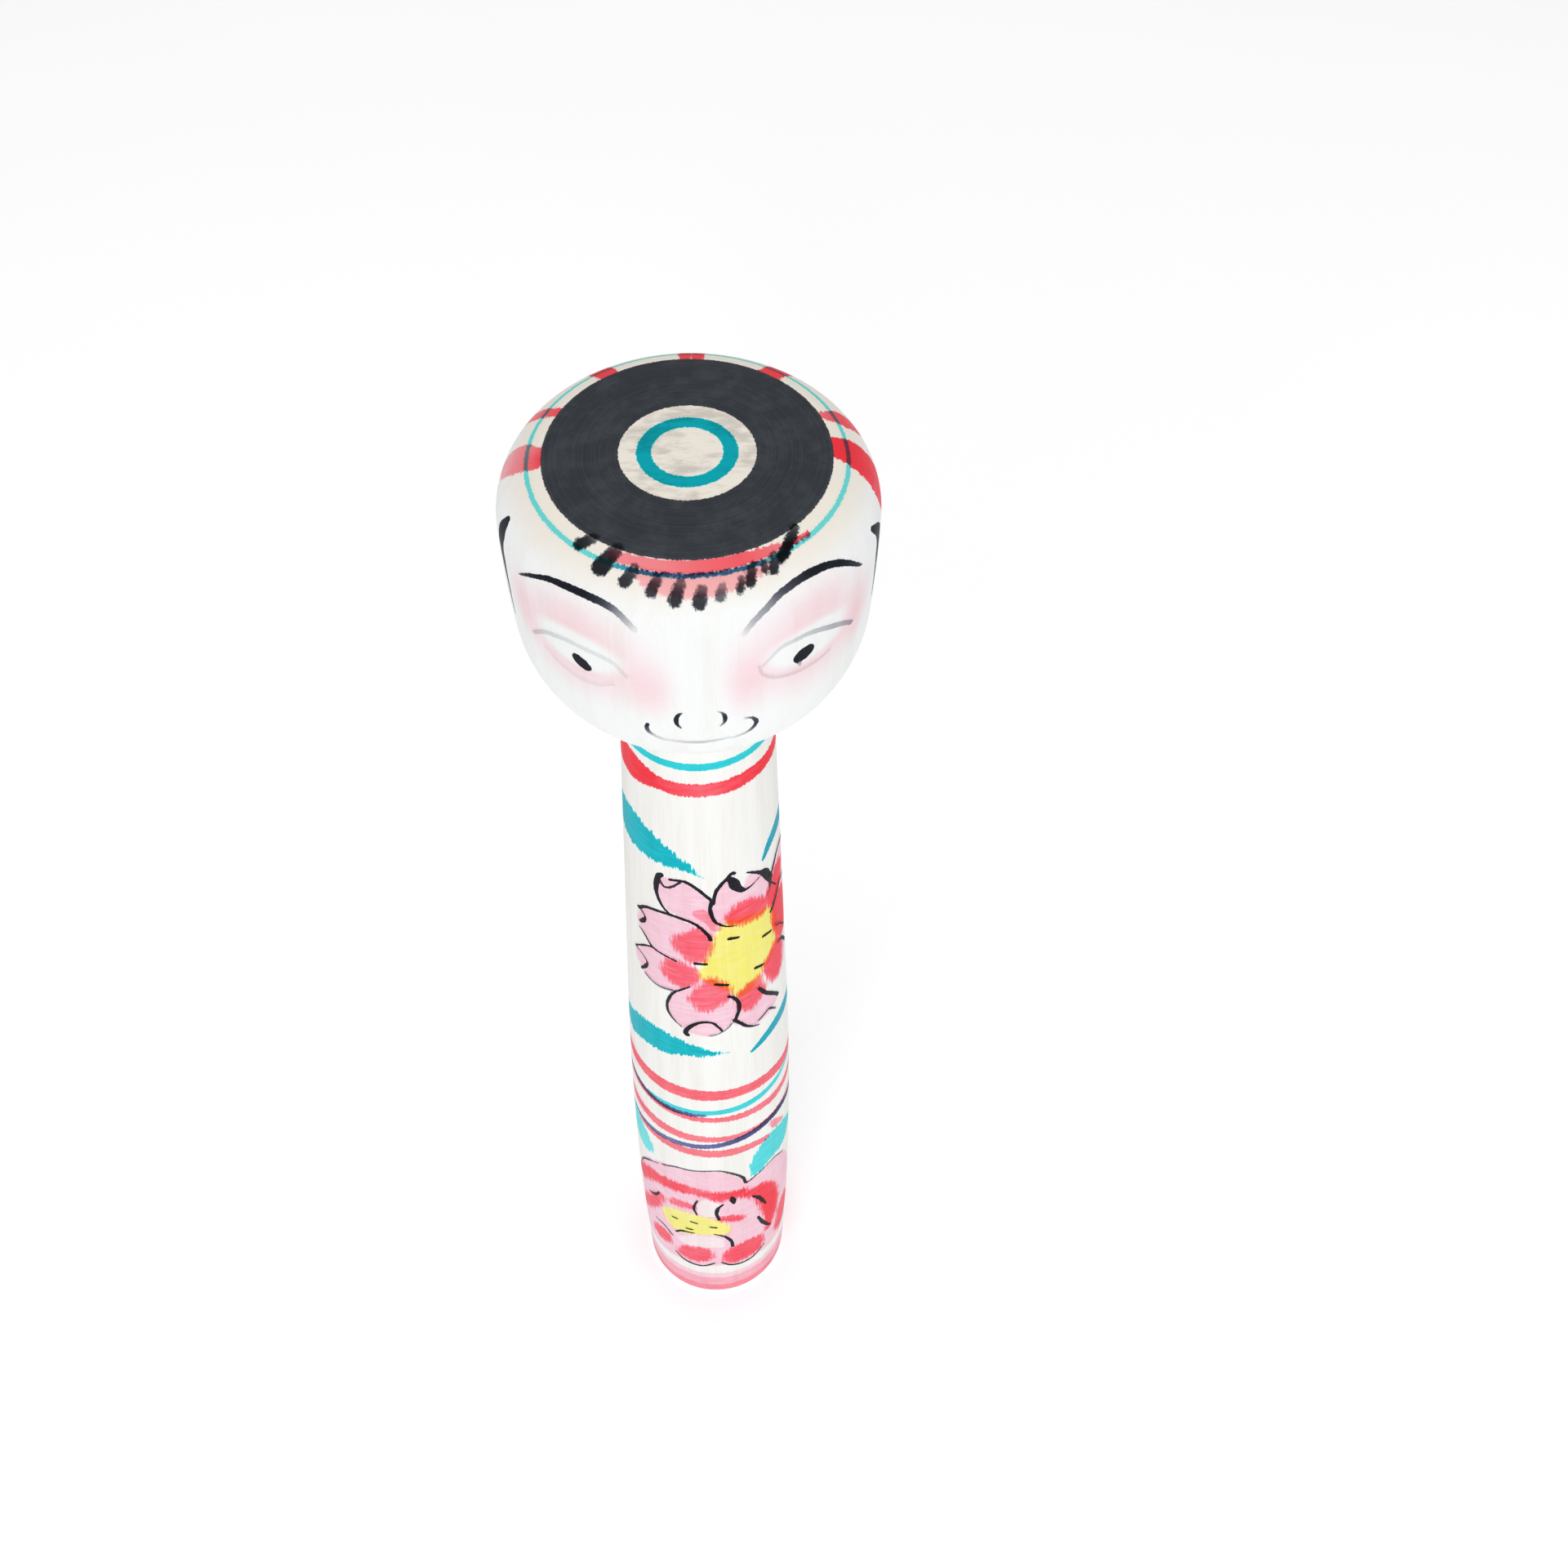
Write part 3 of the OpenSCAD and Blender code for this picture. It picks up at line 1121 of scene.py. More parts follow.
    def mouth(self) -> list[Stroke]:
        """Lists the lines of the mouth."""
        return [
            Stroke(
                Dye.INK,
                ((-15.3, 49.9), (-15.8, 50.8), (-15.2, 51.9), (-13, 53), (-10, 53.8)),
                (0.26, 0.32, 0.32, 0.36),
                (1.0, 0.6, 0.12, 0.05),
            ),
            Stroke(
                Dye.INK,
                ((-10, 53.6), (-5, 54), (0, 54.2), (5, 54), (10, 53.6)),
                (0.36, 0.48, 0.36),
                (0.05, 0.12, 0.05),
            ),
            Stroke(
                Dye.INK,
                ((11, 53.9), (14, 53.4), (16.6, 52.6), (18.2, 51.3), (17.9, 50.2), (16.5, 49.5),
                 (14.4, 49.2)),
                (0.34, 0.3, 0.3, 0.22),
                (0.05, 0.15, 0.8, 0.6, 0.05),
            ),
        ]

    def side_hair(self) -> list[Stroke]:
        """Lists the locks in front of the ears."""
        return [
            Stroke(
                Dye.INK,
                ((-74, 27.2), (-75, 30), (-73.5, 34), (-72, 38), (-70.5, 44)),
                (0.5, 1.4, 1.0, 0.5, 0.2),
                (1.0, 1.0, 0.9, 0.6),
            ),
            Stroke(
                Dye.INK,
                ((69.5, 29.3), (74.5, 32), (74.5, 36), (73.5, 40), (73, 44)),
                (0.4, 1.3, 0.9, 0.5, 0.2),
                (1.0, 1.0, 0.9, 0.6),
            ),
        ]

    def blush(self) -> list[Wash]:
        """Lists the blush round the eyes."""
        rose = Dye.BLUSH
        return [
            Wash(rose, (-37, 38), (36, 13), 0.6, (16, 3.6)),
            Wash(rose, (-14, 42.5), (11, 8.5), 0.42),
            Wash(rose, (-60, 37), (12, 8), 0.36),
            Wash(rose, (-38, 32), (18, 4), 0.2),
            Wash(rose, (36, 38), (36, 13.5), 0.6, (16, 3.6)),
            Wash(rose, (15, 41.5), (10, 9.5), 0.38),
            Wash(rose, (58, 40), (13, 9), 0.42),
            Wash(rose, (38, 31), (16, 4), 0.22),
        ]

    def films(self) -> dict[str, list[Stroke]]:
        """Groups the strokes that get a film of their own, by the film's name."""
        return {
            "ink_fringe": self.fringe(),
            "ink_brows": self.brows(),
            "ink_eyelids": self.eyelids(),
            "ink_pupils": self.pupils(),
            "ink_nose": self.nose(),
            "ink_mouth": self.mouth(),
            "ink_side_hair": self.side_hair(),
            "crown_line": self.crown_line(),
        }

    def everything(self) -> list[Stroke | Patch | Wash]:
        """Lists all that is painted on the head."""
        lines = [stroke for strokes in self.films().values() for stroke in strokes]
        return self.crown() + self.fringe_dye() + self.blush() + lines


@dataclass
class BodyPainting:
    """What is painted on the body. Places are heights over the base."""

    def rings(self) -> list[Stroke | Patch | Wash]:
        """Lists the bands at the neck, the waist and the foot."""
        return [
            ring(Dye.TEAL, 187.6, 189.2, 0.75),
            # the neck's red band carries more dye at the sides and back than at the front; its deeper red
            # at the sides is painted shade on the band's real red
            Stroke(
                Dye.RED,
                ((-180, 182.85), (-120, 182.85), (-60, 182.85), (0, 182.85), (60, 182.85),
                 (120, 182.85), (180, 182.85)),
                (1.55,),
                (1.1, 1.15, 1.2, 0.66, 1.15, 1.15, 1.1),
            ),
            Stroke(
                Dye.RED,
                ((-88, 183), (-75, 183), (-60, 183), (-45, 183), (-36, 183)),
                (1.6, 3.2, 3.3, 2.4, 1.5),
                (1.1,),
            ),
            Stroke(
                Dye.RED,
                ((-180, 91.5), (-120, 91.5), (-60, 91.8), (0, 91.5), (45, 90.3), (75, 88.8),
                 (120, 89.5), (180, 91.5)),
                (1.4, 1.6, 1.9, 1.6, 1.7, 1.9, 1.4),
                (0.62,),
            ),
            Wash(Dye.PINK, (-75, 92), (24, 5.5), 0.9),
            Stroke(
                Dye.TEAL,
                ((-52, 84.6), (-30, 84.9), (0, 85), (30, 85.3), (55, 86), (80, 87)),
                (0.3, 0.7, 0.8, 1.0, 0.9, 0.4),
                (0.5, 0.6, 0.6, 0.4),
            ),
            Stroke(
                Dye.PLUM,
                ((-100, 84.4), (-70, 84), (-45, 83.6), (-20, 83.7), (-5, 84)),
                (0.5, 0.8, 0.7, 0.4),
                (1.2, 1.3, 1.1, 0.7),
            ),
            Stroke(
                Dye.RED,
                ((-180, 82.5), (-120, 82.6), (-60, 82.9), (-30, 82.7), (0, 82.2), (30, 81.5),
                 (60, 80.6), (120, 81.5), (180, 82.5)),
                (0.8, 0.8, 0.8, 0.9, 1.2, 1.3, 0.9),
                (0.54,),
            ),
            Stroke(
                Dye.RED,
                ((-180, 74.5), (-120, 74.6), (-60, 74.9), (-20, 74.7), (20, 74.2), (60, 74),
                 (120, 74.2), (180, 74.5)),
                (0.8, 1.2, 1.6, 1.0, 0.7, 0.7, 0.8),
                (0.45, 0.52, 0.5, 0.42, 0.5),
            ),
            Wash(Dye.PINK, (-68, 75), (26, 4.5), 0.9),
            Stroke(
                Dye.PLUM,
                ((-85, 68.6), (-60, 69.6), (-45, 70.2), (-30, 70.9), (0, 71.8), (20, 72.7), (45, 73.4),
                 (64, 73), (85, 71.4)),
                (0.5, 0.8, 0.8, 0.85, 1.0, 1.1, 0.8),
                (0.7, 0.8, 0.85, 0.9, 1.3, 1.6, 1.2),
            ),
            Stroke(
                Dye.RED,
                ((-66, 68.4), (-30, 68.8), (0, 68.6), (25, 68), (43, 66.9)),
                (0.8, 1.3, 1.4, 1.3, 0.9),
                (0.5,),
            ),
            Stroke(Dye.CORAL, ((48, 71), (54, 68.6), (62, 66.8)), (0.8, 1.2, 0.6), (0.8,)),
            ring(Dye.PINK, 1.2, 11.0, 0.85),
            ring(Dye.CORAL, 1.6, 8.6, 0.32),
            # the faint red at the very foot is partly the base band's own red and partly painted shade
            # where the foot rounds under
            ring(Dye.RED, 1.4, 4.4, 0.17),
        ]

    def leaves(self) -> list[Stroke | Patch | Wash]:
        """Lists the leaves, each with a clean point where the brush leaves the wood."""
        leaf = Dye.LEAF
        return [
            Patch(
                leaf,
                ((-2, 160.9), (-12, 164), (-27, 167.2), (-45, 170), (-70, 171), (-95, 169),
                 (-112, 165.5), (-95, 163), (-70, 162), (-38, 162), (-22, 162.4), (-10, 161.8)),
                1.15,
            ),
            Stroke(
                Dye.TEAL,
                ((1, 160.2), (-6, 161.3), (-14, 162.6), (-24, 164.4)),
                (0.1, 0.35, 0.6),
                (0.6, 0.35, 0.0),
            ),
            Stroke(
                Dye.TEAL,
                ((49, 158.6), (57, 160.8), (67, 162.2), (80, 162.6), (95, 161.5), (110, 159.5)),
                (0.4, 1.15, 1.6, 2.0, 1.7, 0.4),
                (1.7,),
            ),
            Patch(
                leaf,
                ((8, 106.5), (-2, 107.9), (-15, 109.6), (-35, 110.9), (-55, 110), (-75, 107),
                 (-95, 103), (-75, 100), (-55, 102.3), (-35, 103.8), (-20, 105.2), (-4, 105.8)),
                1.15,
            ),
            Stroke(
                Dye.TEAL,
                ((14, 106.3), (6, 106.5), (-4, 107), (-16, 107.4)),
                (0.1, 0.35, 0.6),
                (0.6, 0.35, 0.0),
            ),
            Stroke(
                Dye.TEAL,
                ((31, 103.4), (42, 105), (55, 106.2), (70, 106.7), (88, 106.2), (104, 105)),
                (0.4, 1.1, 1.5, 1.9, 1.6, 0.4),
                (1.5,),
            ),
            Patch(
                leaf,
                ((27, 58), (30, 62), (38, 65.5), (50, 67), (66, 65), (80, 60), (66, 56), (48, 56.3),
                 (35, 54.6), (29, 55)),
                0.45,
            ),
            Patch(leaf, ((28, 57.5), (30, 60), (34, 60), (36, 57), (33, 55), (29, 55)), 1.0),
            Patch(leaf, ((-50, 61), (-62, 66.5), (-80, 68.5), (-100, 64), (-80, 58.5), (-62, 57)), 0.3),
        ]

    def upper_fill(self) -> list[Stroke | Patch | Wash]:
        """Lists the dyes of the upper flower."""
        pink = Dye.PINK
        red = Dye.ROSE
        return [
            Patch(
                Dye.YELLOW,
                ((-5, 134), (4, 142), (14, 147), (25, 146.8), (45, 145.3), (56, 143.5), (66, 135),
                 (60, 130.5), (45, 127.4), (38, 125.2), (30, 123.6), (22, 123.6), (12, 127.2),
                 (1, 129.8), (-6, 131.6)),
                0.85,
            ),
            Patch(
                pink,
                ((-36, 156), (-31, 158.6), (-17, 159), (-5, 157.3), (5, 153.5), (8, 148), (3, 143),
                 (-15, 148.4), (-33, 151)),
            ),
            Patch(
                pink,
                ((5, 151), (8, 156), (18, 159.5), (23, 158.5), (29, 154.8), (36, 158), (50, 155),
                 (56, 151), (50, 146), (20, 146), (7, 148)),
            ),
            Patch(
                pink,
                ((-55, 144), (-45, 147.4), (-25, 148.6), (-2, 145.8), (3, 141), (-2, 136), (-30, 135.6),
                 (-50, 138.6), (-57, 141)),
            ),
            Patch(
                pink,
                ((-61, 131), (-50, 135), (-40, 136.3), (-20, 135.5), (-6, 134), (-8, 129), (-25, 126),
                 (-45, 125.6), (-58, 128)),
            ),
            Patch(
                pink,
                ((-13, 128.5), (-25, 125.5), (-30.5, 120.5), (-26, 116.8), (-10, 113), (5, 113.4),
                 (18, 116.5), (21, 121), (15, 127), (0, 131)),
            ),
            Patch(
                pink,
                ((17, 117), (30, 112.4), (50, 112), (60, 114.3), (46, 119.4), (42, 124), (32, 126),
                 (22, 124)),
            ),
            Patch(pink, ((45, 128), (50, 121.5), (66, 119), (80, 124), (70, 129.4), (64, 131))),
            Patch(pink, ((56, 142), (72, 146), (86, 144), (84, 134), (70, 131), (61, 134))),
            Patch(
                pink,
                ((52, 148), (57, 151.5), (68, 155.6), (86, 155), (88, 148), (74, 146), (58, 143.5)),
            ),
            Patch(
                Dye.CORAL,
                ((-9, 150), (-5, 151.5), (2, 151), (9, 148), (12, 145.5), (6, 145), (0, 147.5)),
                0.6,
            ),
            Patch(
                red,
                ((15, 147.6), (20, 150.2), (29, 151.4), (36, 150.6), (46, 148.9), (54, 147),
                 (50, 143.8), (30, 144.6), (19, 145.8)),
                0.78,
            ),
            Patch(
                red,
                ((-25, 141), (-20, 143.8), (-12, 145), (-4, 146.6), (2, 144.4), (5, 141.6), (2, 138.6),
                 (-1, 136.6), (-7, 136), (-14, 136.3), (-19, 138), (-24, 139.4)),
                0.62,
            ),
            Patch(
                red,
                ((-34, 131), (-31, 134), (-27, 135.6), (-15, 135.4), (-9, 134.2), (-6, 131.4),
                 (-9, 129.4), (-17, 127.8), (-25, 128.2), (-31, 129.6)),
                0.6,
            ),
            Patch(
                red,
                ((-14, 125), (-6, 129), (0, 131.4), (6, 131), (14, 128.8), (17, 126), (10, 122.6),
                 (-3, 120.6), (-11, 123)),
                0.58,
            ),
            Patch(
                red,
                ((21, 121), (22, 124.6), (32, 126.4), (40, 126.6), (45, 123.4), (46, 120.6),
                 (38, 118.6), (30, 117.6), (24, 118.8)),
                0.66,
            ),
            Patch(red, ((44, 127.5), (52, 130.5), (62, 132.4), (72, 129), (70, 122), (56, 120.4)), 0.85),
            Patch(red, ((58, 137), (58, 142.8), (72, 144), (88, 140), (84, 131), (66, 130.5)), 1.05),
            Patch(red, ((50, 146), (58, 151), (70, 152.4), (82, 150), (72, 145.6), (58, 143)), 1.0),
        ]

    def upper_lines(self) -> list[Stroke]:
        """Lists the ink lines of the upper flower."""
        ink = Dye.INK
        stamens = (
            ((-8, 135.8), (-0.5, 135.6)),
            ((17, 142.1), (24, 141.6)),
            ((46, 137.3), (55, 136.4)),
            ((6, 129.2), (14.5, 128.3)),
            ((37, 129.7), (44.5, 128.9)),
        )
        rows = [Stroke(ink, ends, (0.4, 0.3)) for ends in stamens]
        return rows + [
            Stroke(
                ink,
                ((-31.5, 159.2), (-34, 158.5), (-36.5, 156), (-36.5, 153.5), (-34, 151.5), (-30, 149.8),
                 (-25, 148.8)),
                (0.45, 0.6, 0.4, 0.32, 0.2),
            ),
            Stroke(
                ink,
                ((-33, 157.5), (-31, 156.4), (-28, 156.2), (-23, 157), (-17, 158.8)),
                (0.25,),
                (0.8,),
            ),
            Stroke(
                ink,
                ((-25, 158.7), (-17, 159.1), (-12, 158.9), (-5, 157.4), (0, 155.8), (5, 154)),
                (0.3, 0.38, 0.3),
            ),
            Stroke(
                ink,
                ((6, 153), (8, 156), (12, 157.8), (18, 159.5), (21, 160.3), (23, 159.9)),
                (0.3, 0.4, 0.3),
            ),
            Stroke(
                ink,
                ((18, 159.3), (21, 158), (24, 156), (28, 154.6), (31, 154.2), (36, 154.3), (42, 154.8),
                 (47, 155.2)),
                (0.35, 1.0, 0.6, 0.3, 0.15, 0.1),
            ),
            Stroke(
                ink,
                ((33, 158.6), (38, 157.7), (45, 156.2), (50, 155), (54, 153), (57, 151.5)),
                (0.15, 0.35, 0.9, 0.8),
            ),
            Stroke(ink, ((57, 151.5), (55, 149), (50, 147)), (0.7, 0.3, 0.1), (0.9, 0.3, 0.0)),
            Stroke(ink, ((57, 150.5), (60, 149.2), (65, 147.3)), (0.15,)),
            Stroke(
                ink,
                ((5.5, 154), (3.8, 152), (4.5, 150), (7, 148), (10, 147), (15, 146), (22, 145.3)),
                (0.36, 0.36, 0.28, 0.1),
            ),
            Stroke(
                ink,
                ((-55.5, 145), (-50, 146.5), (-45, 147.5), (-35, 148.4), (-25, 148.8), (-15, 148.4),
                 (-8, 147.6), (-2, 145.9), (1.5, 144.3), (3.3, 142.8)),
                (0.35,),
            ),
            Stroke(
                ink,
                ((-56, 145.1), (-51, 144.8), (-48, 143.9), (-50, 142.5), (-54, 141.3)),
                (0.3, 0.2, 0.25, 0.48, 0.35),
            ),
            Stroke(
                ink,
                ((-55, 139.3), (-50, 138.7), (-45, 137.2), (-40, 136.3), (-32, 136), (-22, 135.5)),
                (0.25,),
                (0.3, 0.9, 1.0, 0.9),
            ),
            Stroke(ink, ((-61, 132), (-55, 133.7), (-50, 135), (-44, 136.1), (-40, 136.3)), (0.2,)),
            Stroke(
                ink,
                ((-60.5, 131.8), (-53, 131.6), (-47.5, 130.4), (-49.5, 128.6), (-54, 126.8)),
                (0.2, 0.18, 0.25, 0.4, 0.25),
                (0.6, 0.5, 0.9, 1.0),
            ),
            Stroke(ink, ((-50, 126.3), (-42, 125.5), (-35, 125.4), (-26, 126)), (0.3,), (0.35,)),
            Stroke(
                ink,
                ((-13, 128.4), (-20, 126.8), (-25, 125.4), (-29, 122.8), (-30.5, 120.5), (-29.5, 118.5),
                 (-26, 116.8), (-20, 115)),
                (0.2, 0.28, 0.32, 0.18),
                (0.9, 0.9, 0.8, 0.3),
            ),
            Stroke(
                ink,
                ((-16, 112.7), (-17, 113.5), (-15, 115), (-10, 116.6), (-4, 117.4), (2, 117.1),
                 (6, 115.7), (9, 114)),
                (0.5, 0.45, 0.35, 0.2),
            ),
            Stroke(ink, ((0, 112.8), (6, 113.2), (12, 114.3), (17, 116), (19, 116.5)), (0.2,), (0.3,)),
            Stroke(
                ink,
                ((15, 124.7), (19, 123.6), (22, 121.5), (22, 119.3), (20, 117.5), (18.5, 116.5)),
                (0.35, 0.42, 0.35),
            ),
            Stroke(
                ink,
                ((18, 116.7), (22, 115.2), (27, 113.2), (32, 112), (38, 111)),
                (0.4, 0.35, 0.2),
                (1.0, 1.0, 0.3),
            ),
            Stroke(
                ink,
                ((39, 122.8), (42, 121.3), (46, 119.4), (52, 117.4), (57, 115.6), (60, 114.3)),
                (0.35, 0.45, 0.4),
            ),
            Stroke(
                ink,
                ((38, 112.5), (43, 113), (48, 113.4), (52, 112.4), (56, 111)),
                (0.25,),
                (0.5, 1.0, 0.3),
            ),
            Stroke(ink, ((65, 130), (70, 129.3), (75, 127.5), (80, 125.3)), (0.35,)),
            Stroke(ink, ((56, 142.3), (60, 143.3), (66, 145), (72, 146.2), (80, 146)), (0.5, 0.5, 0.3)),
            Stroke(ink, ((62, 136), (70, 134), (78, 131)), (0.2,), (0.6,)),
            Stroke(ink, ((58, 152.5), (62, 154), (68, 155.8), (75, 156.2), (85, 155.2)), (0.4, 0.45, 0.3)),
        ]

    def lower_fill(self) -> list[Stroke | Patch | Wash]:
        """Lists the dyes of the lower flower."""
        pink = Dye.PINK
        red = Dye.ROSE
        heart = ((-46, 36), (-38, 39), (-25, 40.5), (-10, 40.3), (3, 38), (11, 34.5), (6, 31.5), (-8, 31.5),
                 (-22, 30.4), (-34, 29.6), (-43, 32))
        thin = (
            (((-15, 42), (-12, 47), (-5, 48.3), (2, 46), (2, 41.5), (-6, 40.6)), 0.3),
            (((-32, 26), (-22, 29.5), (-5, 30.5), (4, 28.5), (4, 25), (-10, 25), (-24, 24.2)), 0.35),
        )
        return [
            Patch(
                pink,
                ((-80, 40), (-68, 50), (-52, 56), (-38, 59), (-20, 60.6), (0, 61.2), (12, 59.2),
                 (20, 56), (32, 53.4), (50, 54.6), (68, 50), (80, 40), (82, 25), (70, 15), (35, 14.6),
                 (0, 15.4), (-35, 14.6), (-70, 15), (-82, 25)),
            ),
            Patch(pink, heart, bare=True),
            *[Patch(pink, outline, bare=True) for outline, _ in thin],
            *[Patch(pink, outline, load) for outline, load in thin],
            Patch(Dye.YELLOW, heart, 0.72),
            Stroke(
                red,
                ((-76, 40), (-64, 45.5), (-52, 48.8), (-36, 50.6), (-20, 51.6), (-6, 50.6), (6, 49.6),
                 (20, 49.6)),
                (1.4, 2.0, 2.0, 1.9, 1.3, 2.0, 1.4),
                (0.8, 0.9, 0.8, 0.9, 0.6, 0.9, 1.0),
            ),
            Stroke(
                red,
                ((23, 48), (34, 46.5), (42, 42.5), (47, 36.5), (49, 30), (46, 24.5)),
                (1.0, 2.2, 2.8, 2.8, 2.2, 0.9),
                (1.0, 1.1, 1.1, 0.9),
            ),
            Stroke(
                red,
                ((-78, 25), (-66, 31), (-55, 36), (-46, 42)),
                (1.2, 1.7, 1.7, 0.9),
                (0.6, 0.75, 0.6),
            ),
            Stroke(red, ((7, 39), (12, 38.6), (19, 37.4)), (1.2, 1.4, 0.9), (0.75,)),
            Stroke(red, ((-34, 42.5), (-27, 44), (-18, 44)), (1.0, 1.6, 1.0), (0.6,)),
            Patch(red, ((-62, 20), (-56, 24), (-44, 25), (-39, 22), (-44, 19.4), (-54, 18.6)), 0.7),
            Patch(
                red,
                ((-35, 18.5), (-29, 22.5), (-16, 24.2), (-6, 23.6), (-4, 19.8), (-12, 17), (-26, 16.7)),
                0.68,
            ),
            Patch(
                red,
                ((4, 18.8), (8, 23), (20, 24.8), (34, 24.2), (41, 20.5), (36, 17), (20, 15.9),
                 (8, 16.4)),
                0.78,
            ),
            Patch(red, ((54, 20), (60, 28), (72, 30), (80, 24), (72, 18), (60, 16.5)), 0.7),
        ]

    def lower_lines(self) -> list[Stroke]:
        """Lists the ink lines of the lower flower."""
        ink = Dye.INK
        return [
            Stroke(
                ink,
                ((-42, 57.6), (-30, 60), (-20, 60.6), (0, 61.4), (10, 60), (20, 56.6), (23, 53.5)),
                (0.25, 0.3, 0.35),
                (0.5, 0.35, 0.9),
            ),
            Stroke(ink, ((24, 53), (34, 54.2), (50, 55), (64, 52)), (0.3, 0.25), (0.6, 0.3)),
            Stroke(
                ink,
                ((-46, 56.6), (-58, 53.4), (-70, 48.4), (-78, 41)),
                (0.15, 0.28, 0.15),
                (0.3, 0.6, 0.3),
            ),
            Stroke(ink, ((12, 48.8), (13, 47.3), (13.6, 45.6)), (0.3, 0.7, 0.3)),
            Stroke(ink, ((29, 45.5), (34, 43.4), (38, 40.6), (42, 37.6)), (0.25, 0.5, 0.45, 0.2)),
            Stroke(ink, ((34, 34), (38, 30.4), (44, 26.4), (48, 24.6)), (0.25, 0.5, 0.4, 0.2)),
            Stroke(ink, ((5, 46), (1.4, 44.4), (0.2, 41.8), (2, 39)), (0.25, 0.45, 0.3)),
            Stroke(ink, ((-34, 28.6), (-28, 30.6), (-18, 31.4)), (0.25, 0.4, 0.2)),
            Stroke(ink, ((-2, 32), (6, 30.4), (11, 27.4), (12, 24.6)), (0.2, 0.42, 0.3)),
            Stroke(ink, ((-15, 40.8), (-17, 44), (-14, 47.6)), (0.2, 0.35, 0.2), (0.8,)),
            Stroke(ink, ((-48, 42.6), (-54, 39.4), (-62, 37.4)), (0.25, 0.4, 0.2), (0.9,)),
            Stroke(ink, ((-38, 25.6), (-46, 27.6), (-56, 27.2)), (0.25, 0.35, 0.2), (0.8,)),
            Stroke(ink, ((-36, 17.6), (-28, 15.4), (-14, 14.8), (-3, 16.8)), (0.25, 0.4, 0.25), (0.8,)),
            Stroke(ink, ((3, 17), (12, 14.8), (28, 14.6), (41, 17.4)), (0.25, 0.4, 0.25), (0.8,)),
            Stroke(ink, ((-36, 35.4), (-32, 35.6)), (0.3,)),
            Stroke(ink, ((-20, 36.8), (-15.5, 36.6)), (0.3,)),
            Stroke(ink, ((-5, 35.6), (-0.5, 35.2)), (0.3,)),
            Stroke(ink, ((-24, 32.8), (-19.5, 33)), (0.3,)),
        ]

    def films(self) -> dict[str, list[Stroke]]:
        """Groups the strokes that get a film of their own, by the film's name."""
        return {"ink_upper_flower": self.upper_lines(), "ink_lower_flower": self.lower_lines()}

    def everything(self) -> list[Stroke | Patch | Wash]:
        """Lists all that is painted on the body."""
        lines = [stroke for strokes in self.films().values() for stroke in strokes]
        return self.rings() + self.leaves() + self.upper_fill() + self.lower_fill() + lines


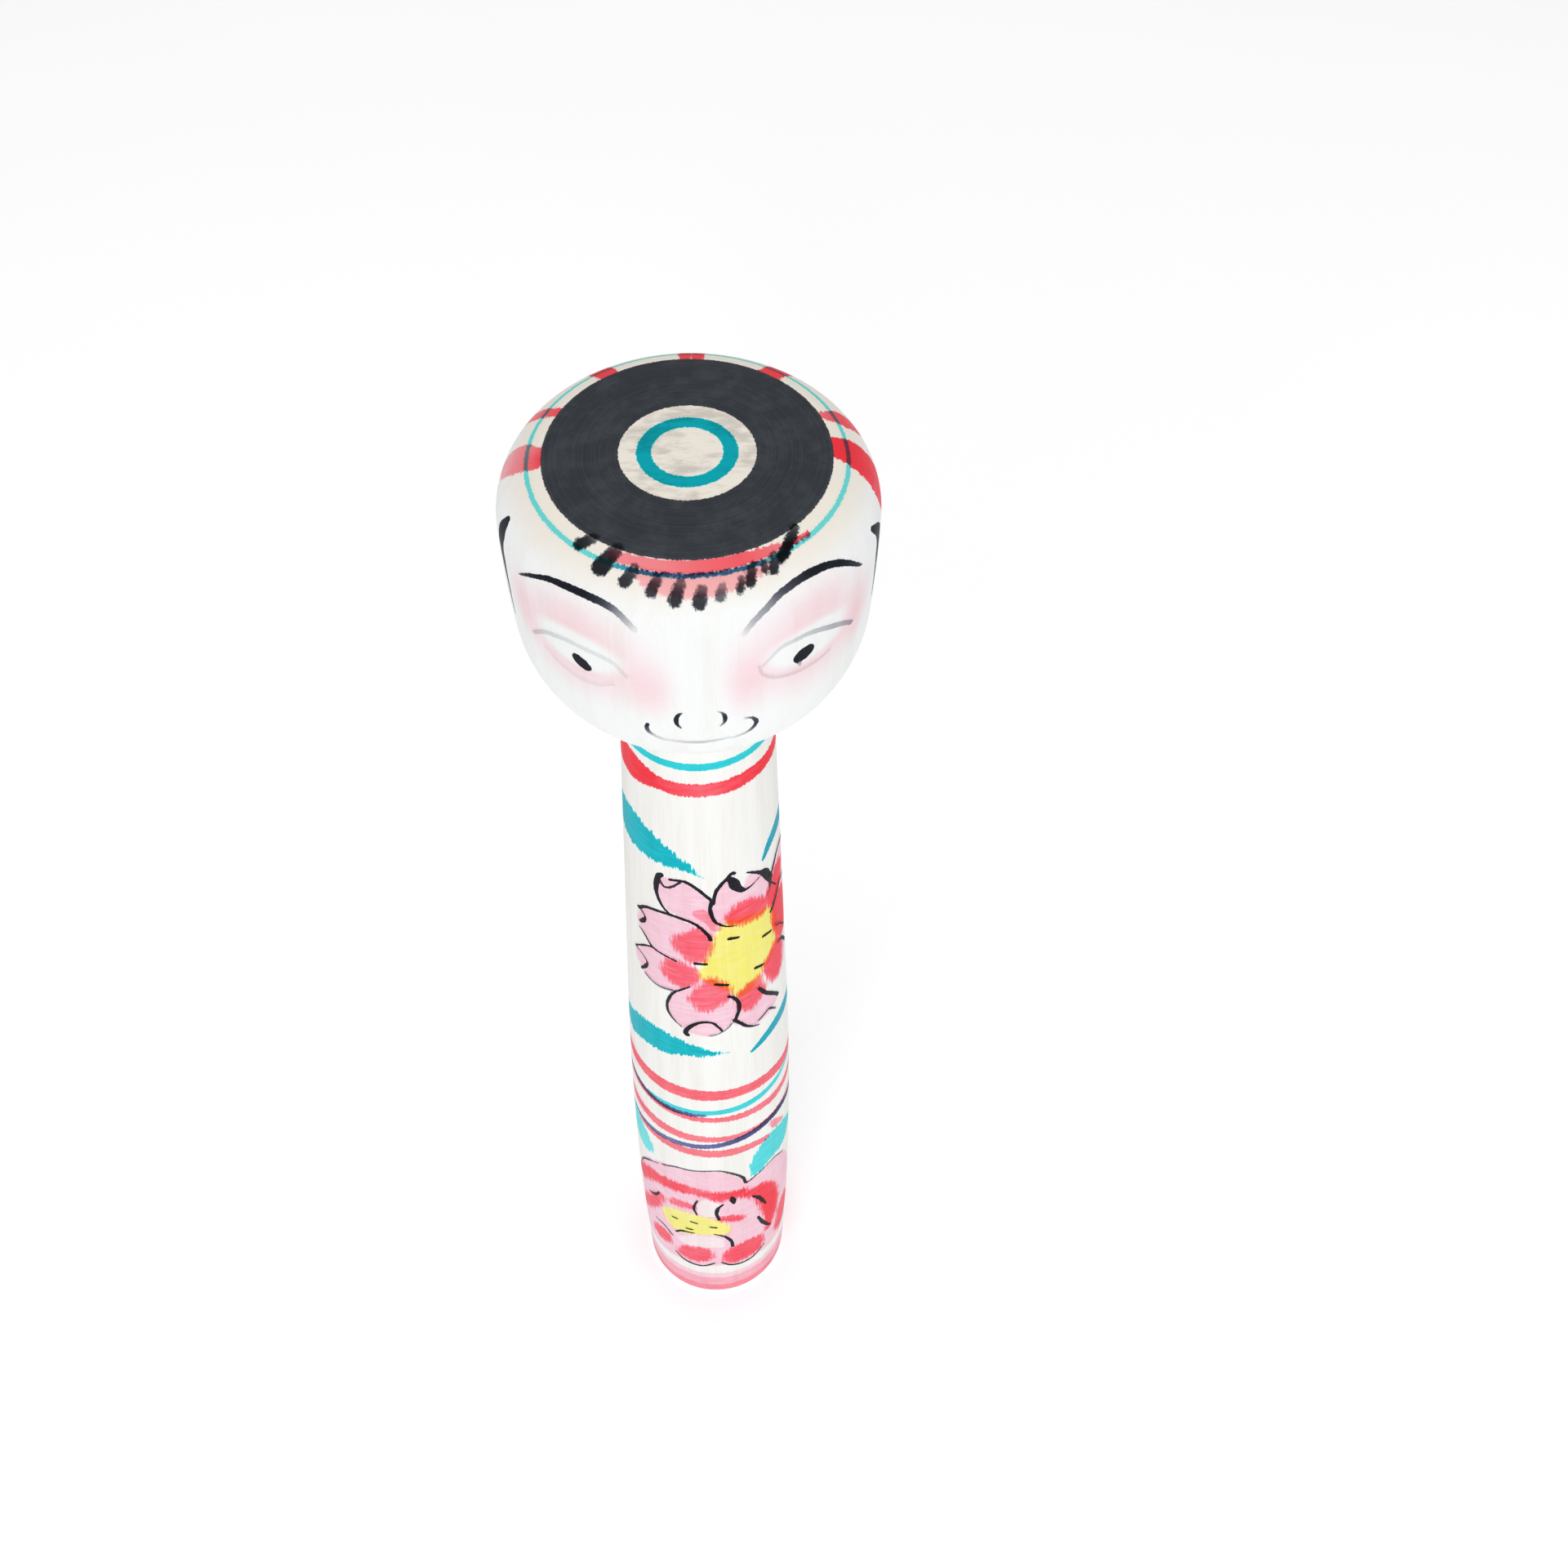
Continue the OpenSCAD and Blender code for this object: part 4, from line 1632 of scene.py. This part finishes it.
@dataclass
class TurnedHead:
    """The head with the tenon that turns in the body. Sizes are in mm.

    Attributes:
        crown_edge: radius of the crown's rounded edge.
        crown_rise: rise of the crown's centre over its edge.
        temple_curve: radius of the barrel curve of the temples.
        temple_height: height of that curve.
        seat_radius: radius of the flat underside.
        tenon_radius: radius of the tenon.
        tenon_length: length of the tenon.
        bead: how far the bead stands out of the tenon.
        bead_height: height of the bead.
        bead_depth: the bead's middle, below the top of the body.
        fine: gap between points on the painted side.
        crown_steps: how many steps the crown has from its centre to its edge.
        tip_bevel: bevel of the tenon's tip.
        turn_steps: how many steps a full turn has.
        end_grain: depths below the top between which the side turns into end grain.
        painting: what is painted on it.
    """

    crown_edge: float = 9.5
    crown_rise: float = 0.3
    temple_curve: float = 220.0
    temple_height: float = 17.6
    seat_radius: float = 8.0
    tenon_radius: float = 6.0
    tenon_length: float = 16.0
    bead: float = 0.6
    bead_height: float = 3.0
    bead_depth: float = 8.0
    fine: float = 0.36
    crown_steps: int = 40
    tip_bevel: float = 0.8
    turn_steps: int = 360
    end_grain: Point = (6.0, 1.0)
    painting: HeadPainting = field(default_factory=HeadPainting)

    def __post_init__(self) -> None:
        """Takes the height of the underside from the frame."""
        self.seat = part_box("head")[0].z / MM + self.tenon_length

    def side(self) -> list[Point]:
        """Sets out the head's outline, from the crown's centre to the edge of its underside."""
        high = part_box("head")[1]
        radius = high.x / MM
        top = high.z / MM
        level = top - self.crown_rise
        edge_z = level - self.crown_edge
        flat = radius - self.crown_edge
        slope = math.asin(self.temple_height / self.temple_curve)
        jaw_r = radius - self.temple_curve * (1 - math.cos(slope))
        jaw_z = edge_z - self.temple_height
        dr = jaw_r - self.seat_radius
        dz = jaw_z - self.seat
        chin = (dr**2 + dz**2) / (2 * (dr * math.cos(slope) - dz * math.sin(slope)))
        middle = (jaw_r - chin * math.cos(slope), jaw_z + chin * math.sin(slope))
        end = math.degrees(math.atan2(middle[1] - self.seat, self.seat_radius - middle[0]))
        turn = math.degrees(slope)
        shares = [i / self.crown_steps for i in range(self.crown_steps + 1)]
        rows = [(flat * share, level + self.crown_rise * (1 - share**2)) for share in shares]
        rows += arc((flat, edge_z), self.crown_edge, 90, 0, self.fine)[1:]
        rows += arc((radius - self.temple_curve, edge_z), self.temple_curve, 0, -turn, self.fine)[1:]
        rows += arc(middle, chin, -turn, -end, self.fine)[1:]
        return rows

    def tenon(self) -> list[Point]:
        """Sets out the outline of the underside and the tenon, down to the axis."""
        bead_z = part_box("body")[1].z / MM - self.bead_depth
        tip = self.seat - self.tenon_length
        out = self.tenon_radius + self.bead
        corners = [
            (self.seat_radius, self.seat),
            (self.tenon_radius, self.seat),
            (self.tenon_radius, bead_z + self.bead_height / 2),
            (out, bead_z + self.bead_height / 6),
            (out, bead_z - self.bead_height / 6),
            (self.tenon_radius, bead_z - self.bead_height / 2),
            (self.tenon_radius, tip + self.tip_bevel),
            (self.tenon_radius - self.tip_bevel, tip),
            (0.0, tip),
        ]
        return line(corners, 1.5)

    def build(self) -> list[bpy.types.Object]:
        """Builds and dresses the head and the films on it.

        Returns:
            The pieces.
        """
        side = self.side()
        piece = turn_on_lathe("turned_head", side + self.tenon()[1:], self.turn_steps)
        outline = np.array(side)
        run = np.concatenate([[0.0], np.cumsum(np.hypot(*np.diff(outline, axis=0).T))])
        chart = Chart(outline, run)
        film = Film(chart)
        films = [film.lay(name, strokes) for name, strokes in self.painting.films().items()]
        painting = Painting(self.painting.everything())
        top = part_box("head")[1].z / MM
        ends = (top - self.end_grain[0], top - self.end_grain[1])
        material = HEAD_WOOD_WITH_COOL_LIGHT.mix("painted_head_wood", painting.dyes(), ends)
        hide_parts("head")
        for part in [piece, *films]:
            painting.dress(part, chart)
            finish_piece(part, material, "head")
        return [piece, *films]


@dataclass
class TurnedBody:
    """The body with the socket that the head turns in. Sizes are in mm.

    Attributes:
        base_radius: radius at the base.
        belly_height: height at which the body is widest.
        belly_curve: radius of the long arc over the belly.
        taper: slope of the straight taper in degrees.
        foot: rounding of the edge that the doll stands on.
        shoulder: rounding of the shoulder.
        bore: radius of the socket.
        groove: radius of the groove that the head's bead snaps into.
        mouth: bevel of the socket's mouth.
        groove_depths: depths below the top at which the groove starts, is full, ends and is gone.
        socket_room: how far the socket goes past the tenon's tip.
        socket_point: how much deeper its drilled point is.
        base_ring: radius of the base's inner ring of points.
        turn_steps: how many steps a full turn has.
        end_grain: depths below the top between which the side turns into end grain.
        fine: gap between points on the painted side.
        foot_step: step round the foot's rounding, in degrees.
        shoulder_step: step round the shoulder's, in degrees.
        painting: what is painted on it.
    """

    base_radius: float = 15.0
    belly_height: float = 50.0
    belly_curve: float = 1750.0
    taper: float = 2.0
    foot: float = 1.7
    shoulder: float = 3.0
    bore: float = 6.05
    groove: float = 6.65
    mouth: float = 0.6
    groove_depths: tuple[float, float, float, float] = (6.35, 7.5, 8.5, 9.65)
    socket_room: float = 1.5
    socket_point: float = 3.0
    base_ring: float = 7.0
    turn_steps: int = 220
    end_grain: Point = (2.0, 0.0)
    fine: float = 0.5
    foot_step: int = 10
    shoulder_step: int = 9
    painting: BodyPainting = field(default_factory=BodyPainting)

    def __post_init__(self) -> None:
        """Takes the belly's radius and the body's height from the frame."""
        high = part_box("body")[1]
        self.belly = high.x / MM
        self.top = high.z / MM

    def radius(self, height: float) -> float:
        """Works out the radius of the side, before its two edges are rounded.

        Args:
            height: height over the base in mm.

        Returns:
            The radius in mm.
        """
        belly = self.belly
        slope = math.radians(self.taper)
        straight = self.belly_height + self.belly_curve * math.sin(slope)
        if height < self.belly_height:
            return belly - (belly - self.base_radius) * (1 - height / self.belly_height) ** 2
        if height < straight:
            rise = height - self.belly_height
            return belly - self.belly_curve + math.sqrt(self.belly_curve**2 - rise**2)
        return belly - self.belly_curve * (1 - math.cos(slope)) - (height - straight) * math.tan(slope)

    def side(self) -> list[Point]:
        """Sets out the body's outline, from the base's edge to the shoulder's."""
        top = self.top
        rows = []
        for angle in range(0, 91, self.foot_step):
            a = math.radians(angle)
            height = self.foot * (1 - math.cos(a))
            rows.append((self.radius(height) - self.foot * (1 - math.sin(a)), height))
        count = round((top - self.foot - self.shoulder) / self.fine)
        for i in range(1, count):
            height = self.foot + (top - self.foot - self.shoulder) * i / count
            rows.append((self.radius(height), height))
        for angle in range(0, 91, self.shoulder_step):
            a = math.radians(angle)
            height = top - self.shoulder * (1 - math.sin(a))
            rows.append((self.radius(height) - self.shoulder * (1 - math.cos(a)), height))
        return rows

    def socket(self) -> list[Point]:
        """Sets out the top and the socket, down to the tip of its drilled point."""
        top = self.top
        starts, full, ends, gone = self.groove_depths
        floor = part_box("head")[0].z / MM - self.socket_room
        rows = [
            (self.bore + self.mouth, top),
            (self.bore, top - self.mouth),
            (self.bore, top - starts),
            (self.groove, top - full),
            (self.groove, top - ends),
            (self.bore, top - gone),
            (self.bore, floor),
            (0.0, floor - self.socket_point),
        ]
        return line(rows, 2.0)

    def build(self) -> list[bpy.types.Object]:
        """Builds and dresses the body and the films on it.

        Returns:
            The pieces.
        """
        side = self.side()
        base = [(0.0, 0.0), (self.base_ring, 0.0)]
        piece = turn_on_lathe("turned_body", base + side + self.socket(), self.turn_steps)
        outline = np.array(side)
        chart = Chart(outline, outline[:, 1].copy())
        film = Film(chart)
        films = [film.lay(name, strokes) for name, strokes in self.painting.films().items()]
        painting = Painting(self.painting.everything())
        ends = (self.top - self.end_grain[0], self.top - self.end_grain[1])
        material = BODY_WOOD.mix("painted_body_wood", painting.dyes(), ends)
        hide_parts("body")
        for part in [piece, *films]:
            painting.dress(part, chart)
            finish_piece(part, material, "body")
        return [piece, *films]


def finish_piece(piece: bpy.types.Object, material: bpy.types.Material, body: str) -> None:
    """Gives a piece its material, and hangs it on its body.

    Args:
        piece: the finished piece.
        material: its material.
        body: the body that it moves with.
    """
    piece.data.materials.clear()
    piece.data.materials.append(material)
    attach(piece, body)


@dataclass(frozen=True)
class Lamp:
    """One soft square lamp that faces the doll.

    Attributes:
        name: the lamp's name.
        place: where it hangs, in mm.
        size: its side in mm.
        power: its power in watts.
    """

    name: str
    place: Triple
    size: float
    power: float

    def hang(self) -> None:
        """Hangs the lamp."""
        light = bpy.data.lights.new(self.name, "AREA")
        light.shape = "SQUARE"
        light.size = self.size * MM
        light.energy = self.power
        lamp = bpy.data.objects.new(self.name, light)
        lamp.location = Vector(self.place) * MM
        aim = Vector((0.0, 0.0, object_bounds()[1][2] / 2)) - lamp.location
        lamp.rotation_euler = aim.to_track_quat("-Z", "Y").to_euler()
        bpy.context.scene.collection.objects.link(lamp)


@dataclass
class Studio:
    """The floor, the light and the camera. Sizes are in mm.

    Attributes:
        floor_size: side of the floor.
        floor_tone: the floor's colour in a painter's numbers.
        floor_shade: the colour of its faint mottling.
        floor_roughness: how dull the floor is.
        floor_glow: how much light the floor gives off itself.
        lamps: the lamps round the doll.
        room_light: how bright the pale surroundings are.
        stand_off: how far the camera is in front of the doll's axis.
        over_crown: how far it is above the crown.
        pitch: how far it looks down, in degrees.
        yaw: how far it looks to the side, in degrees.
        roll: how far it is tilted, in degrees.
        lens: its focal length.
        frame_width: the width of its frame.
        nearest: how near to it things are still shown.
    """

    floor_size: float = 6000.0
    floor_tone: Tint = (254, 254, 254)
    floor_shade: Tint = (250, 250, 251)
    floor_roughness: float = 0.8
    floor_glow: float = 0.2
    lamps: tuple[Lamp, ...] = (
        Lamp("key", (-420.0, -1120.0, 1050.0), 800.0, 7.3),
        Lamp("fill", (1000.0, -800.0, 700.0), 900.0, 3.0),
        Lamp("over", (0.0, 200.0, 1500.0), 1200.0, 6.0),
    )
    room_light: float = 0.45
    stand_off: float = 203.7
    over_crown: float = 186.2
    pitch: float = 51.94
    yaw: float = 3.92
    roll: float = -0.90
    lens: float = 45.69
    frame_width: float = 36.0
    nearest: float = 10.0

    def lay_floor(self) -> bpy.types.Object:
        """Lays the floor, far wider than the doll on every side.

        Returns:
            The floor.
        """
        deselect()
        bpy.ops.mesh.primitive_plane_add(size=self.floor_size * MM)
        floor = bpy.context.object
        floor.name = "floor"
        bpy.ops.object.mode_set(mode="EDIT")
        bpy.ops.mesh.select_all(action="SELECT")
        bpy.ops.mesh.subdivide(number_cuts=3)
        bpy.ops.object.mode_set(mode="OBJECT")
        recipe = Recipe("floor_paper")
        mottle = recipe.grain(FLOOR_MOTTLE, 2.0)
        tone = recipe.mixed("MIX", mottle, linear(*self.floor_tone), linear(*self.floor_shade))
        recipe.plug(recipe.shader.inputs["Base Color"], tone)
        recipe.shader.inputs["Roughness"].default_value = self.floor_roughness
        recipe.shader.inputs["Emission Color"].default_value = WHITE
        recipe.shader.inputs["Emission Strength"].default_value = self.floor_glow
        floor.data.materials.append(recipe.material)
        floor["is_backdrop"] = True
        return floor

    def light(self) -> None:
        """Sets up the lamps and the pale surroundings."""
        for lamp in self.lamps:
            lamp.hang()
        world = bpy.data.worlds.new("pale_room")
        world.use_nodes = True
        background = world.node_tree.nodes["Background"]
        background.inputs["Color"].default_value = WHITE
        background.inputs["Strength"].default_value = self.room_light
        bpy.context.scene.world = world
        bpy.context.scene.view_settings.view_transform = "Standard"

    def place_camera(self) -> None:
        """Places the camera in front of the doll, above its head."""
        pitch = math.radians(self.pitch)
        yaw = math.radians(self.yaw)
        level = math.cos(pitch)
        ahead = Vector((math.sin(yaw) * level, math.cos(yaw) * level, -math.sin(pitch)))
        right = ahead.cross(Vector((0.0, 0.0, 1.0))).normalized()
        down = ahead.cross(right)
        roll = math.radians(self.roll)
        across = right * math.cos(roll) + down * math.sin(roll)
        below = down * math.cos(roll) - right * math.sin(roll)
        turn = Matrix((across, -below, -ahead)).transposed()
        camera = bpy.data.objects.new("camera", bpy.data.cameras.new("camera"))
        camera.data.lens = self.lens
        camera.data.sensor_width = self.frame_width
        camera.data.clip_start = self.nearest * MM
        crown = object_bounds()[1][2]
        place = Vector((0.0, -self.stand_off * MM, crown + self.over_crown * MM))
        camera.matrix_world = Matrix.Translation(place) @ turn.to_4x4()
        bpy.context.scene.collection.objects.link(camera)
        bpy.context.scene.camera = camera


def main() -> None:
    """Builds the doll's looks in order, and reports each piece."""
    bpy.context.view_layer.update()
    studio = Studio()
    studio.lay_floor()
    studio.light()
    studio.place_camera()
    for part in (TurnedBody(), TurnedHead()):
        for piece in part.build():
            log.info("%s: %d faces", piece.name, len(piece.data.polygons))


if __name__ == "__main__":
    main()
